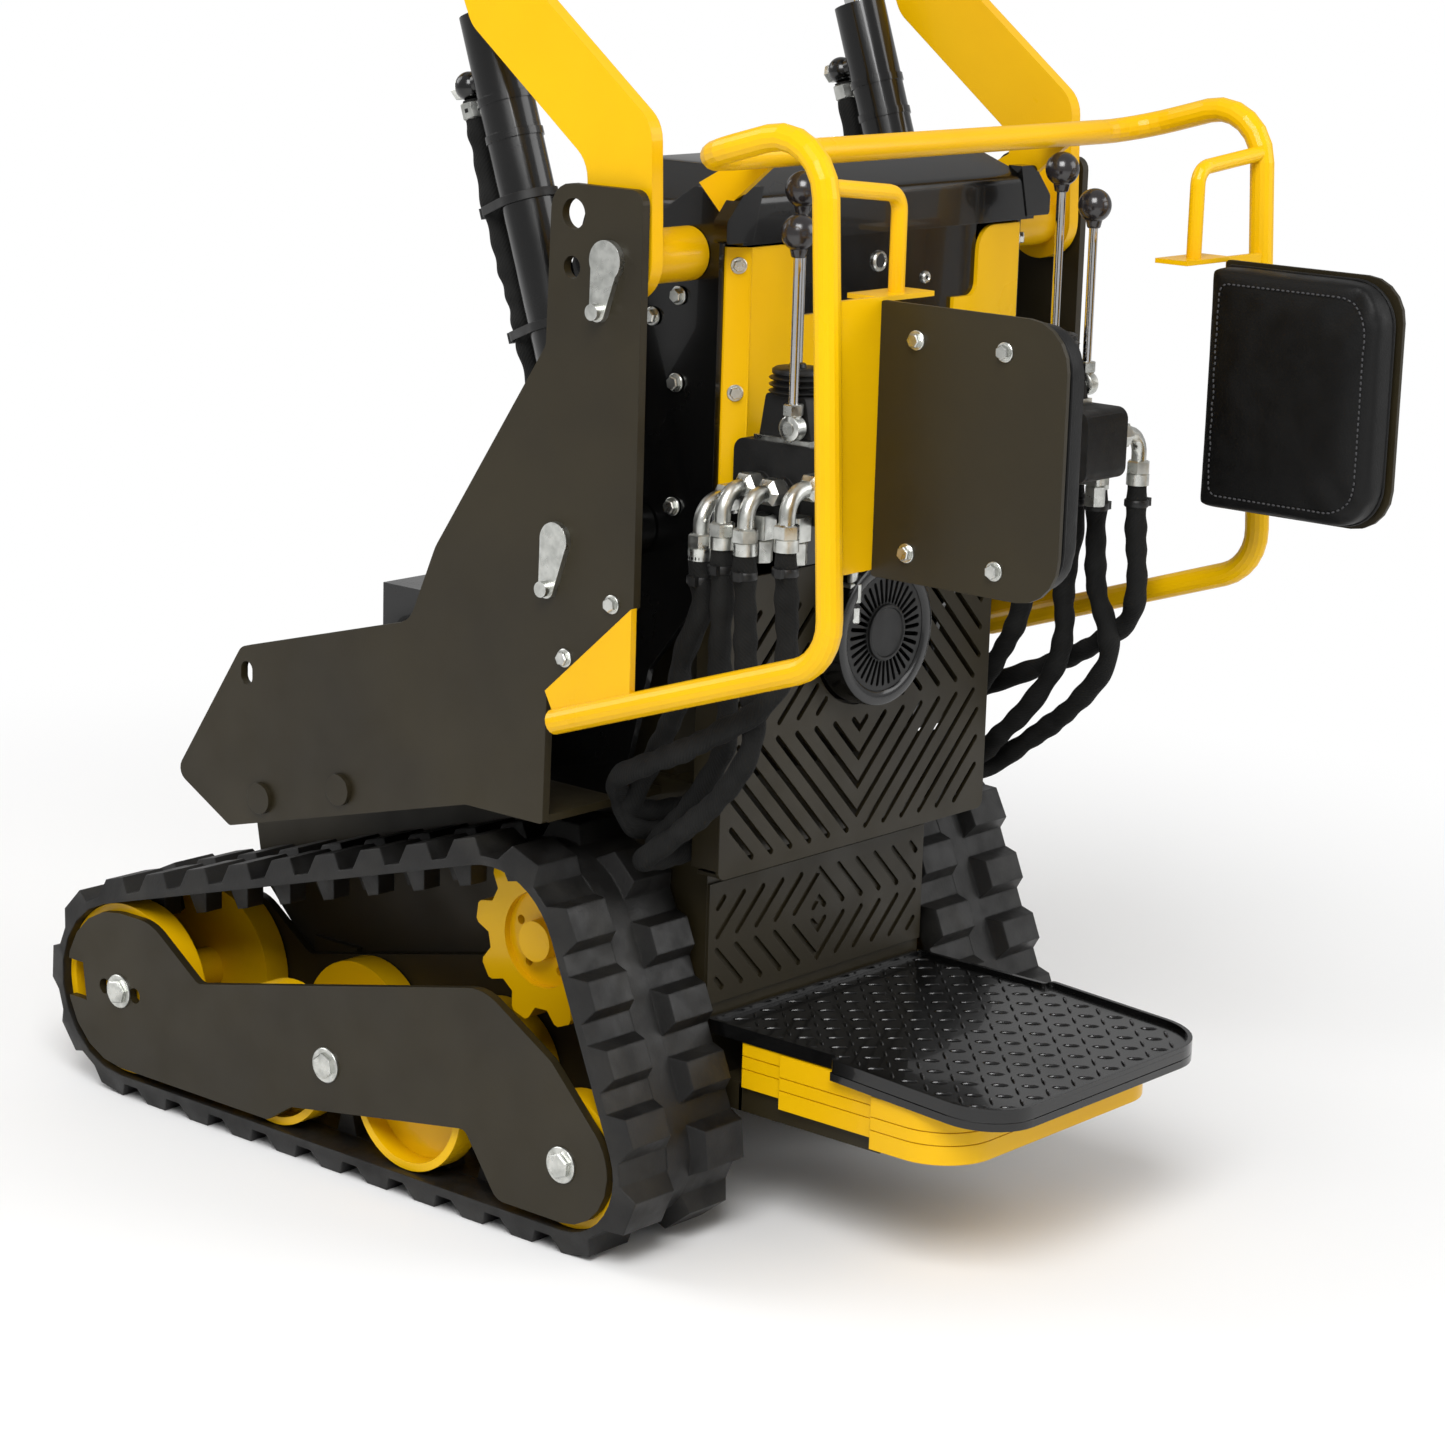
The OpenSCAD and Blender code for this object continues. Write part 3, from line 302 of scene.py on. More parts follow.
def carriedFrames(path):
    # headings by central differences; the first normal is carried along and made square to each heading in turn
    h = unitRows(np.gradient(path, axis=0))
    n = np.zeros_like(path)
    n[0] = unitRows(np.cross(h[0], [0, 0, 1.0] if abs(h[0][2]) < 0.9 else [1.0, 0, 0]))
    for k in range(1, len(path)):
        n[k] = unitRows(n[k - 1] - h[k] * (h[k] @ n[k - 1]))
    return h, n, np.cross(h, n)


def sweep(path, radius, sides=16):
    # a circle of radius r(s) carried along a path: p = c(s) + r(s) (cos t n + sin t b)
    path = np.asarray(path, float)
    h, n, b = carriedFrames(path)
    t = np.arange(sides) * 2 * np.pi / sides
    r = np.broadcast_to(np.asarray(radius, float).reshape(-1, 1) if np.ndim(radius) < 2 else radius, (len(path), sides))
    pts = path[:, None] + r[..., None] * (np.cos(t)[None, :, None] * n[:, None] + np.sin(t)[None, :, None] * b[:, None])
    return pts.reshape(-1, 3), gridFaces(len(path), sides, True).tolist() + capFaces(len(path), sides)


def slab(outline, low, high, origin, u, v, w):
    # a closed outline (u, v) carried from low to high along w
    o = np.asarray(outline, float)
    u, v, w = (np.asarray(k, float) for k in (u, v, w))
    flat = np.asarray(origin, float) + o[:, :1] * u + o[:, 1:] * v
    pts = np.vstack([flat + low * w, flat + high * w])
    return pts, gridFaces(2, len(o), True).tolist() + capFaces(2, len(o))


def roundedRing(corners, steps=7):
    # corners (u, v, radius): an arc's centre lies on the bisector, r / sin(half angle) from its corner
    ring = []
    for k, (u, v, r) in enumerate(corners):
        b = np.array([u, v], float)
        if r <= 0:
            ring.append(b)
            continue
        ends = [unitRows(np.array(corners[(k + m) % len(corners)][:2], float) - b) for m in (-1, 1)]
        half = np.arccos(np.clip(ends[0] @ ends[1], -1, 1)) / 2
        centre = b + unitRows(ends[0] + ends[1]) * r / np.sin(half)
        p, q = (b + e * r / np.tan(half) - centre for e in ends)
        turn = np.pi - 2 * half
        t = np.linspace(0, 1, steps + 1)[:, None]
        ring += list(centre + (np.sin((1 - t) * turn) * p + np.sin(t * turn) * q) / np.sin(turn))
    return np.array(ring)


def strokeRing(points, width, steps=6):
    # outline of a line of this width: mitred at its bends, half circles at its ends
    p = np.asarray(points, float)
    d = unitRows(np.diff(p, axis=0))
    n = np.column_stack([-d[:, 1], d[:, 0]])
    m = np.vstack([n[:1], (n[:-1] + n[1:]) / (1 + (n[:-1] * n[1:]).sum(1, keepdims=True)), n[-1:]]) * width / 2
    a = np.linspace(0, np.pi, steps + 1)[1:-1, None]
    tail = p[-1] + (np.cos(a) * n[-1] + np.sin(a) * d[-1]) * width / 2
    head = p[0] + (-np.cos(a) * n[0] - np.sin(a) * d[0]) * width / 2
    return np.vstack([p + m, tail, (p - m)[::-1], head])


def circleRing(centre, r, sides=48):
    a = np.arange(sides) * 2 * np.pi / sides
    return np.asarray(centre, float) + r * np.column_stack([np.cos(a), np.sin(a)])


def holedSheet(outline, holes, low, high, origin, u, v, w):
    # Blender fills the outline less its holes; the sheet goes from low to high along w
    curve = bpy.data.curves.new("flat", "CURVE")
    curve.dimensions, curve.fill_mode, curve.extrude = "2D", "BOTH", (high - low) / 2
    for ring in [outline, *holes]:
        spline = curve.splines.new("POLY")
        spline.points.add(len(ring) - 1)
        spline.points.foreach_set("co", np.column_stack([ring, np.zeros(len(ring)), np.ones(len(ring))]).ravel())
        spline.use_cyclic_u = True
    holder = bpy.data.objects.new("flat", curve)
    mesh = bpy.data.meshes.new_from_object(holder)
    co = np.zeros(len(mesh.vertices) * 3)
    mesh.vertices.foreach_get("co", co)
    co = co.reshape(-1, 3)
    faces = [list(face.vertices) for face in mesh.polygons]
    bpy.data.objects.remove(holder)
    bpy.data.curves.remove(curve)
    bpy.data.meshes.remove(mesh)
    u, v, w = (np.asarray(k, float) for k in (u, v, w))
    pts = np.asarray(origin, float) + co[:, :1] * u + co[:, 1:2] * v + (co[:, 2:] + (low + high) / 2) * w
    return pts, faces


def nodeSurface(name):
    # a copy of a CAD node's triangles, in mm from the pivot
    mesh = nodes[name].data
    co = np.zeros(len(mesh.vertices) * 3)
    mesh.vertices.foreach_get("co", co)
    return co.reshape(-1, 3) / mm - [0, pivotY, 0], [list(face.vertices) for face in mesh.polygons]


def joined(surfaces):
    verts, faces, base = [], [], 0
    for v, f in surfaces:
        verts.append(v)
        faces += [[k + base for k in face] for face in f]
        base += len(v)
    return np.vstack(verts), faces


def stamp(surface, places, axes, turns=None):
    # the same small surface, made along +Z, set at many places with +Z turned to each axis
    v, f = surface
    a = unitRows(axes)
    ref = np.where(np.abs(a[:, 2:]) < 0.9, [[0, 0, 1.0]], [[1.0, 0, 0]])
    u = unitRows(np.cross(ref, a))
    w = np.cross(a, u)
    if turns is not None:
        c, s = np.cos(turns)[:, None], np.sin(turns)[:, None]
        u, w = c * u + s * w, -s * u + c * w
    pts = np.asarray(places, float)[:, None] + v[None, :, :1] * u[:, None] + v[None, :, 1:2] * w[:, None] + v[None, :, 2:] * a[:, None]
    steps = np.arange(len(a)) * len(v)
    return pts.reshape(-1, 3), [[k + int(s) for k in face] for s in steps for face in f]


def flipX(surface):
    v, f = surface
    return v * [-1, 1, 1], [face[::-1] for face in f]


def bothSides(surface):
    return joined([surface, flipX(surface)])


def tidy(mesh):
    # merge doubles, drop what has no area, turn faces outwards
    work = bmesh.new()
    work.from_mesh(mesh)
    bmesh.ops.remove_doubles(work, verts=work.verts, dist=0.02 * mm)
    bmesh.ops.dissolve_degenerate(work, edges=work.edges, dist=0.01 * mm)
    bmesh.ops.recalc_face_normals(work, faces=work.faces)
    work.to_mesh(mesh)
    work.free()


def addPiece(name, surface, look, body, smooth=40.0, uv=None, replaced=()):
    v, f = surface
    mesh = bpy.data.meshes.new(name)
    mesh.from_pydata(place(v).tolist(), [], f)
    if uv is None:
        tidy(mesh)
    mesh.validate()
    mesh.update()
    piece = bpy.data.objects.new(name, mesh)
    bpy.context.scene.collection.objects.link(piece)
    mesh.materials.append(finish[look])
    if uv is not None:
        layer = mesh.uv_layers.new(name="UVMap")
        index = np.zeros(len(mesh.loops), int)
        mesh.loops.foreach_get("vertex_index", index)
        layer.data.foreach_set("uv", np.asarray(uv, float)[index].ravel())
    if smooth:
        mesh.shade_smooth()
        mesh.set_sharp_from_angle(angle=np.radians(smooth))
    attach(piece, body)
    if replaced:
        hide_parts(*replaced)
    return piece


def tubeUv(path, radius, sides):
    # length round and length along, in metres, so that a weave keeps its size
    s = np.concatenate([[0], np.cumsum(np.linalg.norm(np.diff(path, axis=0), axis=1))]) * mm
    t = np.arange(sides) / sides * 2 * np.pi * radius * mm
    return np.stack(np.broadcast_arrays(t[None, :], s[:, None]), -1).reshape(-1, 2)


# hoses in woven sleeves
hoseSet = dict(radius=11.4, ripple=1.3, sides=20, steps=14, ways=[
    [(296, -67, 746), (296, -67, 726), (295, -69, 686), (290, -42, 631), (284, -31, 583), (280, -7, 536), (276, 17, 497), (272, 33, 459), (176, 20, 448)],
    [(296, -94, 761), (296, -94, 741), (295, -96, 701), (290, -91, 631), (284, -98, 591), (280, -91, 547), (276, -62, 499), (272, -30, 463), (264, 9, 424), (176, 16, 430)],
    [(296, -124, 759), (296, -124, 739), (295, -126, 699), (296, -130, 639), (300, -145, 593), (303, -142, 552), (300, -102, 499), (296, -46, 451), (286, 5, 412), (176, 10, 408)],
    [(296, -176, 770), (296, -176, 750), (295, -178, 710), (298, -181, 648), (310, -164, 606), (322, -123, 576), (326, -75, 548), (320, -11, 518), (304, 28, 497), (284, 40, 469), (268, 31, 438), (176, 30, 430)]])


def sleeveRadius(path, radius, ripple, seed):
    # the sleeve's slack gathers in soft wrinkles: radius = r + ripple * (two sines of the length that drift in phase)
    s = np.concatenate([[0], np.cumsum(np.linalg.norm(np.diff(path, axis=0), axis=1))])
    return radius + ripple * (0.55 * np.sin(s / 5.1 + seed + 1.6 * np.sin(s / 31 + seed)) + 0.45 * np.sin(s / 11.7 + 2.3 * seed))


def sleevedHoses(side, h):
    paths = [smoothPath(way, h["steps"]) for way in h["ways"]]
    tubes = [sweep(p, sleeveRadius(p, h["radius"], h["ripple"], 1.3 * k), h["sides"]) for k, p in enumerate(paths)]
    uv = np.vstack([tubeUv(p, h["radius"], h["sides"]) for p in paths])
    surface = joined(tubes)
    return (surface if side > 0 else flipX(surface)), uv


for side, word in ((-1, "left"), (1, "right")):
    surface, uv = sleevedHoses(side, hoseSet)
    addPiece("sleevedHoses_" + word, surface, "sleeve", "root", 60, uv, ["hoses_" + word])
# nylon ties and end sleeves where each hose meets its elbow
ties = [lathe([(z - 34, 12.6), (z - 33, 13.4), (z - 27, 13.4), (z - 26, 12.6)], (x, y, 0), (0, 0, 1), 24)
        for x, y, z in (way[0] for way in hoseSet["ways"])]
ties += [slab([(-3, -4), (3, -4), (3, 4), (-3, 4)], z - 34, z - 25, (x + 14, y - 4, 0), (1, 0, 0), (0, 1, 0), (0, 0, 1))
         for x, y, z in (way[0] for way in hoseSet["ways"])]
addPiece("hoseTies", bothSides(joined(ties)), "nylon", "root", 40)

liftHose = dict(lean=70.997, base=(61, 746), x=298, radius=11.2, ripple=1.7, sides=18, steps=24,
                way=[(456, -46), (420, -47), (370, -50), (320, -50), (270, -47), (210, -46), (160, -46), (122, -46)])


def alongBarrel(points, lean, base, x):
    # (length along the cylinder, height off its axis, sideways) -> machine axes
    p = np.asarray(points, float)
    c, s = np.cos(np.radians(lean)), np.sin(np.radians(lean))
    return np.column_stack([x + p[:, 2], base[0] + p[:, 0] * c - p[:, 1] * s, base[1] + p[:, 0] * s + p[:, 1] * c])


for side, word in ((-1, "left"), (1, "right")):
    route = alongBarrel([(l, off, 0) for l, off in liftHose["way"]], liftHose["lean"], liftHose["base"], side * liftHose["x"])
    path = smoothPath(route, liftHose["steps"])
    tube = sweep(path, sleeveRadius(path, liftHose["radius"], liftHose["ripple"], 0.7 + side), liftHose["sides"])
    addPiece("sleevedLiftHose_" + word, tube, "sleeve", "lift_barrel_" + word, 60,
             tubeUv(path, liftHose["radius"], liftHose["sides"]), ["lift_hose_" + word])
print("hoses done")

# bolts and washers
boltKind = dict(headRadius=9.6, headHeight=7.5, flangeRadius=12.5, flange=2.6)


def hexBolt(b):
    # six-sided head with a chamfered crown on a round flange
    r, h, f = b["headRadius"], b["headHeight"], b["flange"]
    head = lathe([(0, r * 0.9), (f, r), (h + f - 1.6, r), (h + f, r * 0.86)], (0, 0, 0), (0, 0, 1), 6)
    washer = lathe([(0, b["flangeRadius"]), (f * 0.75, b["flangeRadius"]), (f, b["flangeRadius"] - 0.8)], (0, 0, 0), (0, 0, 1), 28)
    return joined([head, washer])


def boltRow(places, axis, scale=1.0, seed=0):
    v, f = hexBolt(boltKind)
    turns = np.random.default_rng(seed).uniform(0, np.pi / 3, len(places))
    return stamp((v * scale, f), places, np.tile(axis, (len(places), 1)), turns)


padBolts = boltRow([(293, y, z) for y, z in ((-322, 980), (-424, 980), (-320, 779), (-423, 777))], (1, 0, 0), 0.74, 1)
panelBolts = boltRow([(230, -49, 1019), (230, -49, 893)], (0.67, -0.74, 0), 0.66, 2)
innerBolts = boltRow([(249.6, y, z) for y, z in ((11, 985), (45, 961), (12, 898), (12, 773))], (1, 0, 0), 0.76, 3)
gussetBolts = boltRow([(365, y, z) for y, z in ((-14, 692), (48, 628))], (1, 0, 0), 0.76, 4)
addPiece("hexBolts", bothSides(joined([padBolts, panelBolts, innerBolts, gussetBolts])), "zinc", "root", 30)
print("bolts done")

# control levers
# sectional valve of four slices, drawn as one block on a core, with port bosses, a spool box and a boot box
valveSet = dict(face=239.7, inner=168, low=776, high=852, slices=[(-58, -198)],
                ports=[(-67, 794), (-94, 809), (-124, 807), (-176, 818)], portR=12.5, boss=8, round=13)


def valveBody(s):
    across = ((0, 0, 0), (0, 1, 0), (0, 0, 1), (1, 0, 0))
    parts = [slab(roundedRing([(a, s["low"], s["round"]), (a, s["high"], s["round"]), (b, s["high"], s["round"]), (b, s["low"], s["round"])]),
                  s["inner"], s["face"] - 2.5 * (k % 2), *across) for k, (a, b) in enumerate(s["slices"])]
    parts.append(slab([(-60, s["low"] + 5), (-60, s["high"] - 5), (-196, s["high"] - 5), (-196, s["low"] + 5)], s["inner"] + 6, s["face"] - 7, *across))
    parts += [lathe([(s["face"] - 4, s["portR"]), (s["face"] + s["boss"] - 1, s["portR"]), (s["face"] + s["boss"], s["portR"] - 1)],
                    (0, y, z), (1, 0, 0), 28) for y, z in s["ports"]]
    parts.append(slab(roundedRing([(-84, 857, 0), (-91, 899, 5), (-141, 899, 5), (-150, 857, 0)]), 188, 232, *across))
    parts.append(slab(roundedRing([(-100, 780, 3), (-100, 812, 3), (-146, 812, 3), (-146, 780, 3)]), s["face"], s["face"] + 5, *across))
    return joined(parts)


addPiece("valveBodies", bothSides(valveBody(valveSet)), "cast", "root", 30, None, ["valves"])

# elbows: hex nut on the port, quarter bend, hex nut and collar on the hose
elbowSet = dict(x=296, bend=24, tube=8.2, nut=14.5, drop=48)


def elbowSurface(e, y, z):
    a = np.linspace(0, np.pi / 2, 9)
    turn = np.column_stack([e["x"] - e["bend"] + e["bend"] * np.sin(a), np.full(9, y), z - e["bend"] + e["bend"] * np.cos(a)])
    path = np.vstack([[e["x"] - e["bend"] - 14, y, z], [e["x"] - e["bend"] - 6, y, z], turn, [e["x"], y, z - 34], [e["x"], y, z - e["drop"] + 1]])
    start = valveSet["face"] + valveSet["boss"]
    nut = lathe([(start, 12.5), (start + 1.5, e["nut"]), (start + 17, e["nut"]), (start + 19, 12), (start + 22, 9.5)], (0, y, z), (1, 0, 0), 6)
    second = lathe([(z - 46, 11), (z - 45, 13.2), (z - 33, 13.2), (z - 31.5, 11)], (e["x"], y, 0), (0, 0, 1), 6)
    collar = lathe([(z - 58, 12.4), (z - 46, 12.4), (z - 45.5, 11.6)], (e["x"], y, 0), (0, 0, 1), 28)
    return joined([sweep(path, e["tube"], 20), nut, second, collar])


hexPlugs = [lathe([(valveSet["face"] - 1, 8), (valveSet["face"] + 4, 8), (valveSet["face"] + 5, 7)], (0, y, z), (1, 0, 0), 6)
            for y, z in ((-176, 792), (-60, 782))]
for y, top in ((-108, 778), (-152, 782)):
    # square outlet blocks under the ports, each with a nut below
    hexPlugs.append(slab(roundedRing([(-11, -11, 3), (11, -11, 3), (11, 11, 3), (-11, 11, 3)]), top - 20, top + 4, (252, y, 0), (1, 0, 0), (0, 1, 0), (0, 0, 1)))
    hexPlugs.append(lathe([(top - 44, 8), (top - 43, 12), (top - 22, 12), (top - 20, 9)], (252, y, 0), (0, 0, 1), 6))
spoolStrip = slab([(-81, 852), (-81, 857), (-152, 857), (-152, 852)], 180, 237, (0, 0, 0), (0, 1, 0), (0, 0, 1), (1, 0, 0))
elbows = [elbowSurface(elbowSet, y, z) for y, z in valveSet["ports"]]
addPiece("portElbows", bothSides(joined(elbows + hexPlugs + [spoolStrip])), "zinc", "root", 35)
print("valves done")

# control levers: one up from a clevis on the valve's face, one out of the rubber bellows
leverSet = dict(side=(245, -137, 874, 1060), top=(214, -115, 930, 1098), rod=4.8, knob=18.0)
bellowsSet = dict(low=898, fold=6.6, wide=28, narrow=23, folds=3, top=25)


def knobProfile(r):
    # ball with a flat seat underneath: (height, radius) from the seat to the pole
    a = np.linspace(-1.15, 1.53, 20)
    return [(r * np.sin(k), max(r * np.cos(k), 0.4)) for k in a]


def bellowsProfile(b):
    # radius = mean + half the difference * cos of the height, one turn a fold
    h = np.linspace(0, b["fold"] * b["folds"], 8 * b["folds"] + 1)
    r = (b["wide"] + b["narrow"]) / 2 - (b["wide"] - b["narrow"]) / 2 * np.cos(h * 2 * np.pi / b["fold"]) 
    end = b["low"] + h[-1]
    return [*zip(b["low"] + h, r), (end + 1, b["top"]), (end + 5, b["top"]), (end + 7, b["top"] - 3), (end + 7, 9), (end + 11, 8), (end + 11, 0.4)]


rods, knobs, clevis = [], [], []
for x, y, low, top in (leverSet["side"], leverSet["top"]):
    rods.append(lathe([(low, leverSet["rod"]), (top - 20, leverSet["rod"])], (x, y, 0), (0, 0, 1), 24))
    knobs.append(lathe([(top - 24, 6), (top - 23, 7.2), (top - 15, 9)], (x, y, 0), (0, 0, 1), 28))
    knobs.append(lathe([(top + h, r) for h, r in knobProfile(leverSet["knob"])], (x, y, 0), (0, 0, 1), 36))
x, y, low, top = leverSet["side"]
clevis.append(lathe([(low + 8, 9), (low + 9, 10.5), (low + 19, 10.5), (low + 20, 9)], (x, y, 0), (0, 0, 1), 6))
clevis.append(lathe([(low - 2, 7.5), (low + 8, 7.5)], (x, y, 0), (0, 0, 1), 24))
clevis.append(lathe([(-7, 11), (-6, 12.5), (6, 12.5), (7, 11), (7, 7), (8, 6.5), (8, 0.4)], (x, y, low - 4), (1, 0, 0), 28))
clevis.append(lathe([(-26, 6), (-6, 6)], (x, y, low - 4), (1, 0, 0), 20))
addPiece("leverRods", bothSides(joined(rods)), "chrome", "root", 40, None, ["levers"])
addPiece("leverKnobs", bothSides(joined(knobs)), "knob", "root", 40)
addPiece("leverClevises", bothSides(joined(clevis)), "zinc", "root", 35)
x, y = leverSet["top"][:2]
addPiece("leverBellows", bothSides(lathe(bellowsProfile(bellowsSet), (x, y, 0), (0, 0, 1), 40)), "nylon", "root", 60)
print("levers done")

# grilles: folded sheets with bands of slots at 45 degrees, mirrored about the centre line
upperGrille = dict(back=-41, front=-37, low=387, high=700, half=224, fold=10, width=6.6, pitch=31.2, clear=(0, 622, 90))
lowerGrille = dict(back=6, front=10, low=234, high=366, half=181.5, width=6.6, pitch=31.6)


def clipped(p, q, circle):
    # what is left of the line p-q outside the circle: |p + t (q - p) - c| = r solved for t
    c, r, d = np.array(circle[:2], float), circle[2], q - p
    b, k = d @ (p - c) / (d @ d), ((p - c) @ (p - c) - r * r) / (d @ d)
    if b * b <= k:
        return [(p, q)]
    t0, t1 = -b - np.sqrt(b * b - k), -b + np.sqrt(b * b - k)
    return [(p + d * lo, p + d * hi) for lo, hi in ((0, min(t0, 1)), (max(t1, 0), 1)) if hi - lo > 0.08]


def slotBand(g, low, high, first, half, rise):
    # slot k meets the band's inner height at x = first + k * pitch; a slot that reaches the centre joins its mirror image
    rings = []
    for a in first + g["pitch"] * np.arange(-6, 12):
        x = np.array([max(a, 0), min(a + high - low, half)])
        if x[1] - x[0] < g["width"]:
            continue
        p, q = np.column_stack([x, low + x - a if rise > 0 else high - x + a])
        if a < g["width"] and "clear" not in g or a < g["width"] and rise > 0:
            rings.append(strokeRing([q * [-1, 1], [0, low - a if rise > 0 else high + a], q], g["width"]))
        else:
            for side in (-1, 1):
                for e0, e1 in clipped(p, q, g.get("clear", (0, -900, 1))):
                    rings.append(strokeRing([e0 * [side, 1], e1 * [side, 1]], g["width"]))
    return rings


facing = ((0, 0, 0), (1, 0, 0), (0, 0, 1), (0, 1, 0))
g = upperGrille
slots = slotBand(g, 404, 524, 15.6, 206, 1) + slotBand(g, 541, 661, 14, 206, -1)
sheet = holedSheet(roundedRing([(g["half"], g["high"], 0), (-g["half"], g["high"], 0), (-g["half"], g["low"], g["fold"]), (g["half"], g["low"], g["fold"])]),
                   slots + [circleRing((0, 622), 82, 72)], g["back"], g["front"], *facing)
flange = slab([(g["half"] - 4, g["front"]), (g["half"], g["front"]), (g["half"], -4), (g["half"] - 4, -4)], g["low"] + 10, g["high"], (0, 0, 0), (1, 0, 0), (0, 1, 0), (0, 0, 1))
shelf = slab([(g["front"], g["low"]), (-4, g["low"]), (-4, g["low"] + 4), (g["front"], g["low"] + 4)], -g["half"] + 10, g["half"] - 10, (0, 0, 0), (0, 1, 0), (0, 0, 1), (1, 0, 0))
addPiece("slottedUpperGrille", joined([sheet, bothSides(flange), shelf]), "satin", "root", 30, None, ["upper_grille"])
g = lowerGrille
slots = slotBand(g, 307, 348, 0, 168, -1) + slotBand(g, 250, 292, 0, 168, 1)
sheet = holedSheet([(-g["half"], g["low"]), (g["half"], g["low"]), (g["half"], g["high"]), (-g["half"], g["high"])], slots, g["back"], g["front"], *facing)
addPiece("slottedLowerGrille", sheet, "satin", "root", 30, None, ["lower_grille"])
print("grilles done")

# recoil starter: pressed cover with 36 radial slots in a round shroud, and a plain centre disc
recoilSet = dict(z=622, face=70, shroud=79, disc=63, slots=36, slotIn=33, slotOut=56, slotWidth=4.3)
r = recoilSet
away = (0, -1, 0)
shroud = lathe([(-60, r["shroud"]), (r["face"] - 4, r["shroud"]), (r["face"] + 1, r["shroud"] - 1), (r["face"] + 2, r["shroud"] - 3),
                (r["face"] + 2, r["disc"] + 3), (r["face"], r["disc"]), (r["face"] - 14, r["disc"] - 1), (r["face"] - 14, 0.4)], (0, 0, r["z"]), away, 72)
angles = np.arange(r["slots"]) * 2 * np.pi / r["slots"]
holes = [strokeRing([(r["slotIn"] * c, r["slotIn"] * n), (r["slotOut"] * c, r["slotOut"] * n)], r["slotWidth"], 4)
         for c, n in zip(np.cos(angles), np.sin(angles))]
cover = holedSheet(circleRing((0, 0), r["disc"], 90), holes, r["face"] - 4, r["face"] - 0.5, (0, 0, r["z"]), (1, 0, 0), (0, 0, 1), away)
centre = lathe([(r["face"] - 2, 30), (r["face"] + 3, 30), (r["face"] + 4, 28.5), (r["face"] + 4, 26.5), (r["face"] + 2.6, 25.5), (r["face"] + 2.6, 0.4)], (0, 0, r["z"]), away, 56)
addPiece("recoilShroud", shroud, "gloss", "root", 35, None, ["recoil_starter"])
addPiece("recoilCover", joined([cover, centre]), "nylon", "root", 35)

# quick coupling that hangs beside the starter: two hex nuts on a short tube
coupling = dict(x=-48, y=-62, low=637, high=680)
c = coupling
addPiece("hangingCoupling", joined([
    lathe([(c["low"] - 4, 6), (c["high"] + 22, 6)], (c["x"], c["y"], 0), (0, 0, 1), 20),
    lathe([(c["low"], 8.5), (c["low"] + 1.5, 10.5), (c["low"] + 17, 10.5), (c["low"] + 18, 8.5)], (c["x"], c["y"], 0), (0, 0, 1), 6),
    lathe([(c["low"] + 22, 9.5), (c["low"] + 23, 11.5), (c["high"] - 1, 11.5), (c["high"], 9.5)], (c["x"], c["y"], 0), (0, 0, 1), 6),
    sweep(smoothPath([(c["x"], c["y"], c["high"] + 18), (c["x"], c["y"] + 4, c["high"] + 36), (c["x"] - 4, c["y"] + 20, c["high"] + 44)], 8), 6, 16)]),
    "zinc", "root", 35)
print("recoil done")

# stacked slab weights in three steps with the lines between their layers, on a black steel strip
weightSet = dict(half=188, groove=1.0,
                 steps=[(-328, -222, 0, 62, (136, 157, 171, 193)), (-222, -97, 5, 0, (146, 167, 181, 205.6)), (-97, -43, 9, 0, (156, 177, 191, 205.6))])


def slabOutline(w, step, inset):
    back, front, side, corner, levels = step
    x = w["half"] - side - inset
    return roundedRing([(x, back + inset, corner), (x, front, 0), (-x, front, 0), (-x, back + inset, corner)], 14)


plates = []
upright = ((0, 0, 0), (1, 0, 0), (0, 1, 0), (0, 0, 1))
for step in weightSet["steps"]:
    levels = step[4]
    for low, high in zip(levels, levels[1:]):
        plates.append(slab(slabOutline(weightSet, step, 0), low, high - weightSet["groove"], *upright))
    plates.append(slab(slabOutline(weightSet, step, 1.6), levels[0] + 1, levels[-1] - 1.2, *upright))
addPiece("slabWeights", joined(plates), "yellow", "root", 30, None, ["platform_weights"])
strip = slab([(-36, 128), (-36, 157), (-98, 157), (-98, 146.5), (-225, 146.5), (-225, 128)], -174, 174, (0, 0, 0), (0, 1, 0), (0, 0, 1), (1, 0, 0))
tongue = slab([(-40, 128), (-8, 128), (-8, 160), (-40, 160)], -174, 174, (0, 0, 0), (0, 1, 0), (0, 0, 1), (1, 0, 0))
addPiece("platformStrip", joined([strip, tongue]), "satin", "root", 30, None, ["platform"])

# tread tray: a rimmed plate with rows of raised bars that alternate in direction; its wide end has a skirt and droops
treadSet = dict(half=193, narrow=181, back=-384, step=-172, front=5.4, corner=62, skirt=198, low=206, floor=216, high=221, rim=5, wall=4, droop=0.056,
                bar=(20, 4.2, 1.7), spacing=22)


def treadOutline(t, g):
    return roundedRing([(t["half"] - g, t["back"] + g, t["corner"] - g), (t["half"] - g, t["step"], 4), (t["narrow"] - g, t["step"], 4),
                        (t["narrow"] - g, t["front"] - g, 3), (-t["narrow"] + g, t["front"] - g, 3), (-t["narrow"] + g, t["step"], 4),
                        (-t["half"] + g, t["step"], 4), (-t["half"] + g, t["back"] + g, t["corner"] - g)], 10)


def skirtOutline(t, g):
    return roundedRing([(t["half"] - g, t["back"] + g, t["corner"] - g), (t["half"] - g, t["step"] - g, 0),
                        (-t["half"] + g, t["step"] - g, 0), (-t["half"] + g, t["back"] + g, t["corner"] - g)], 10)


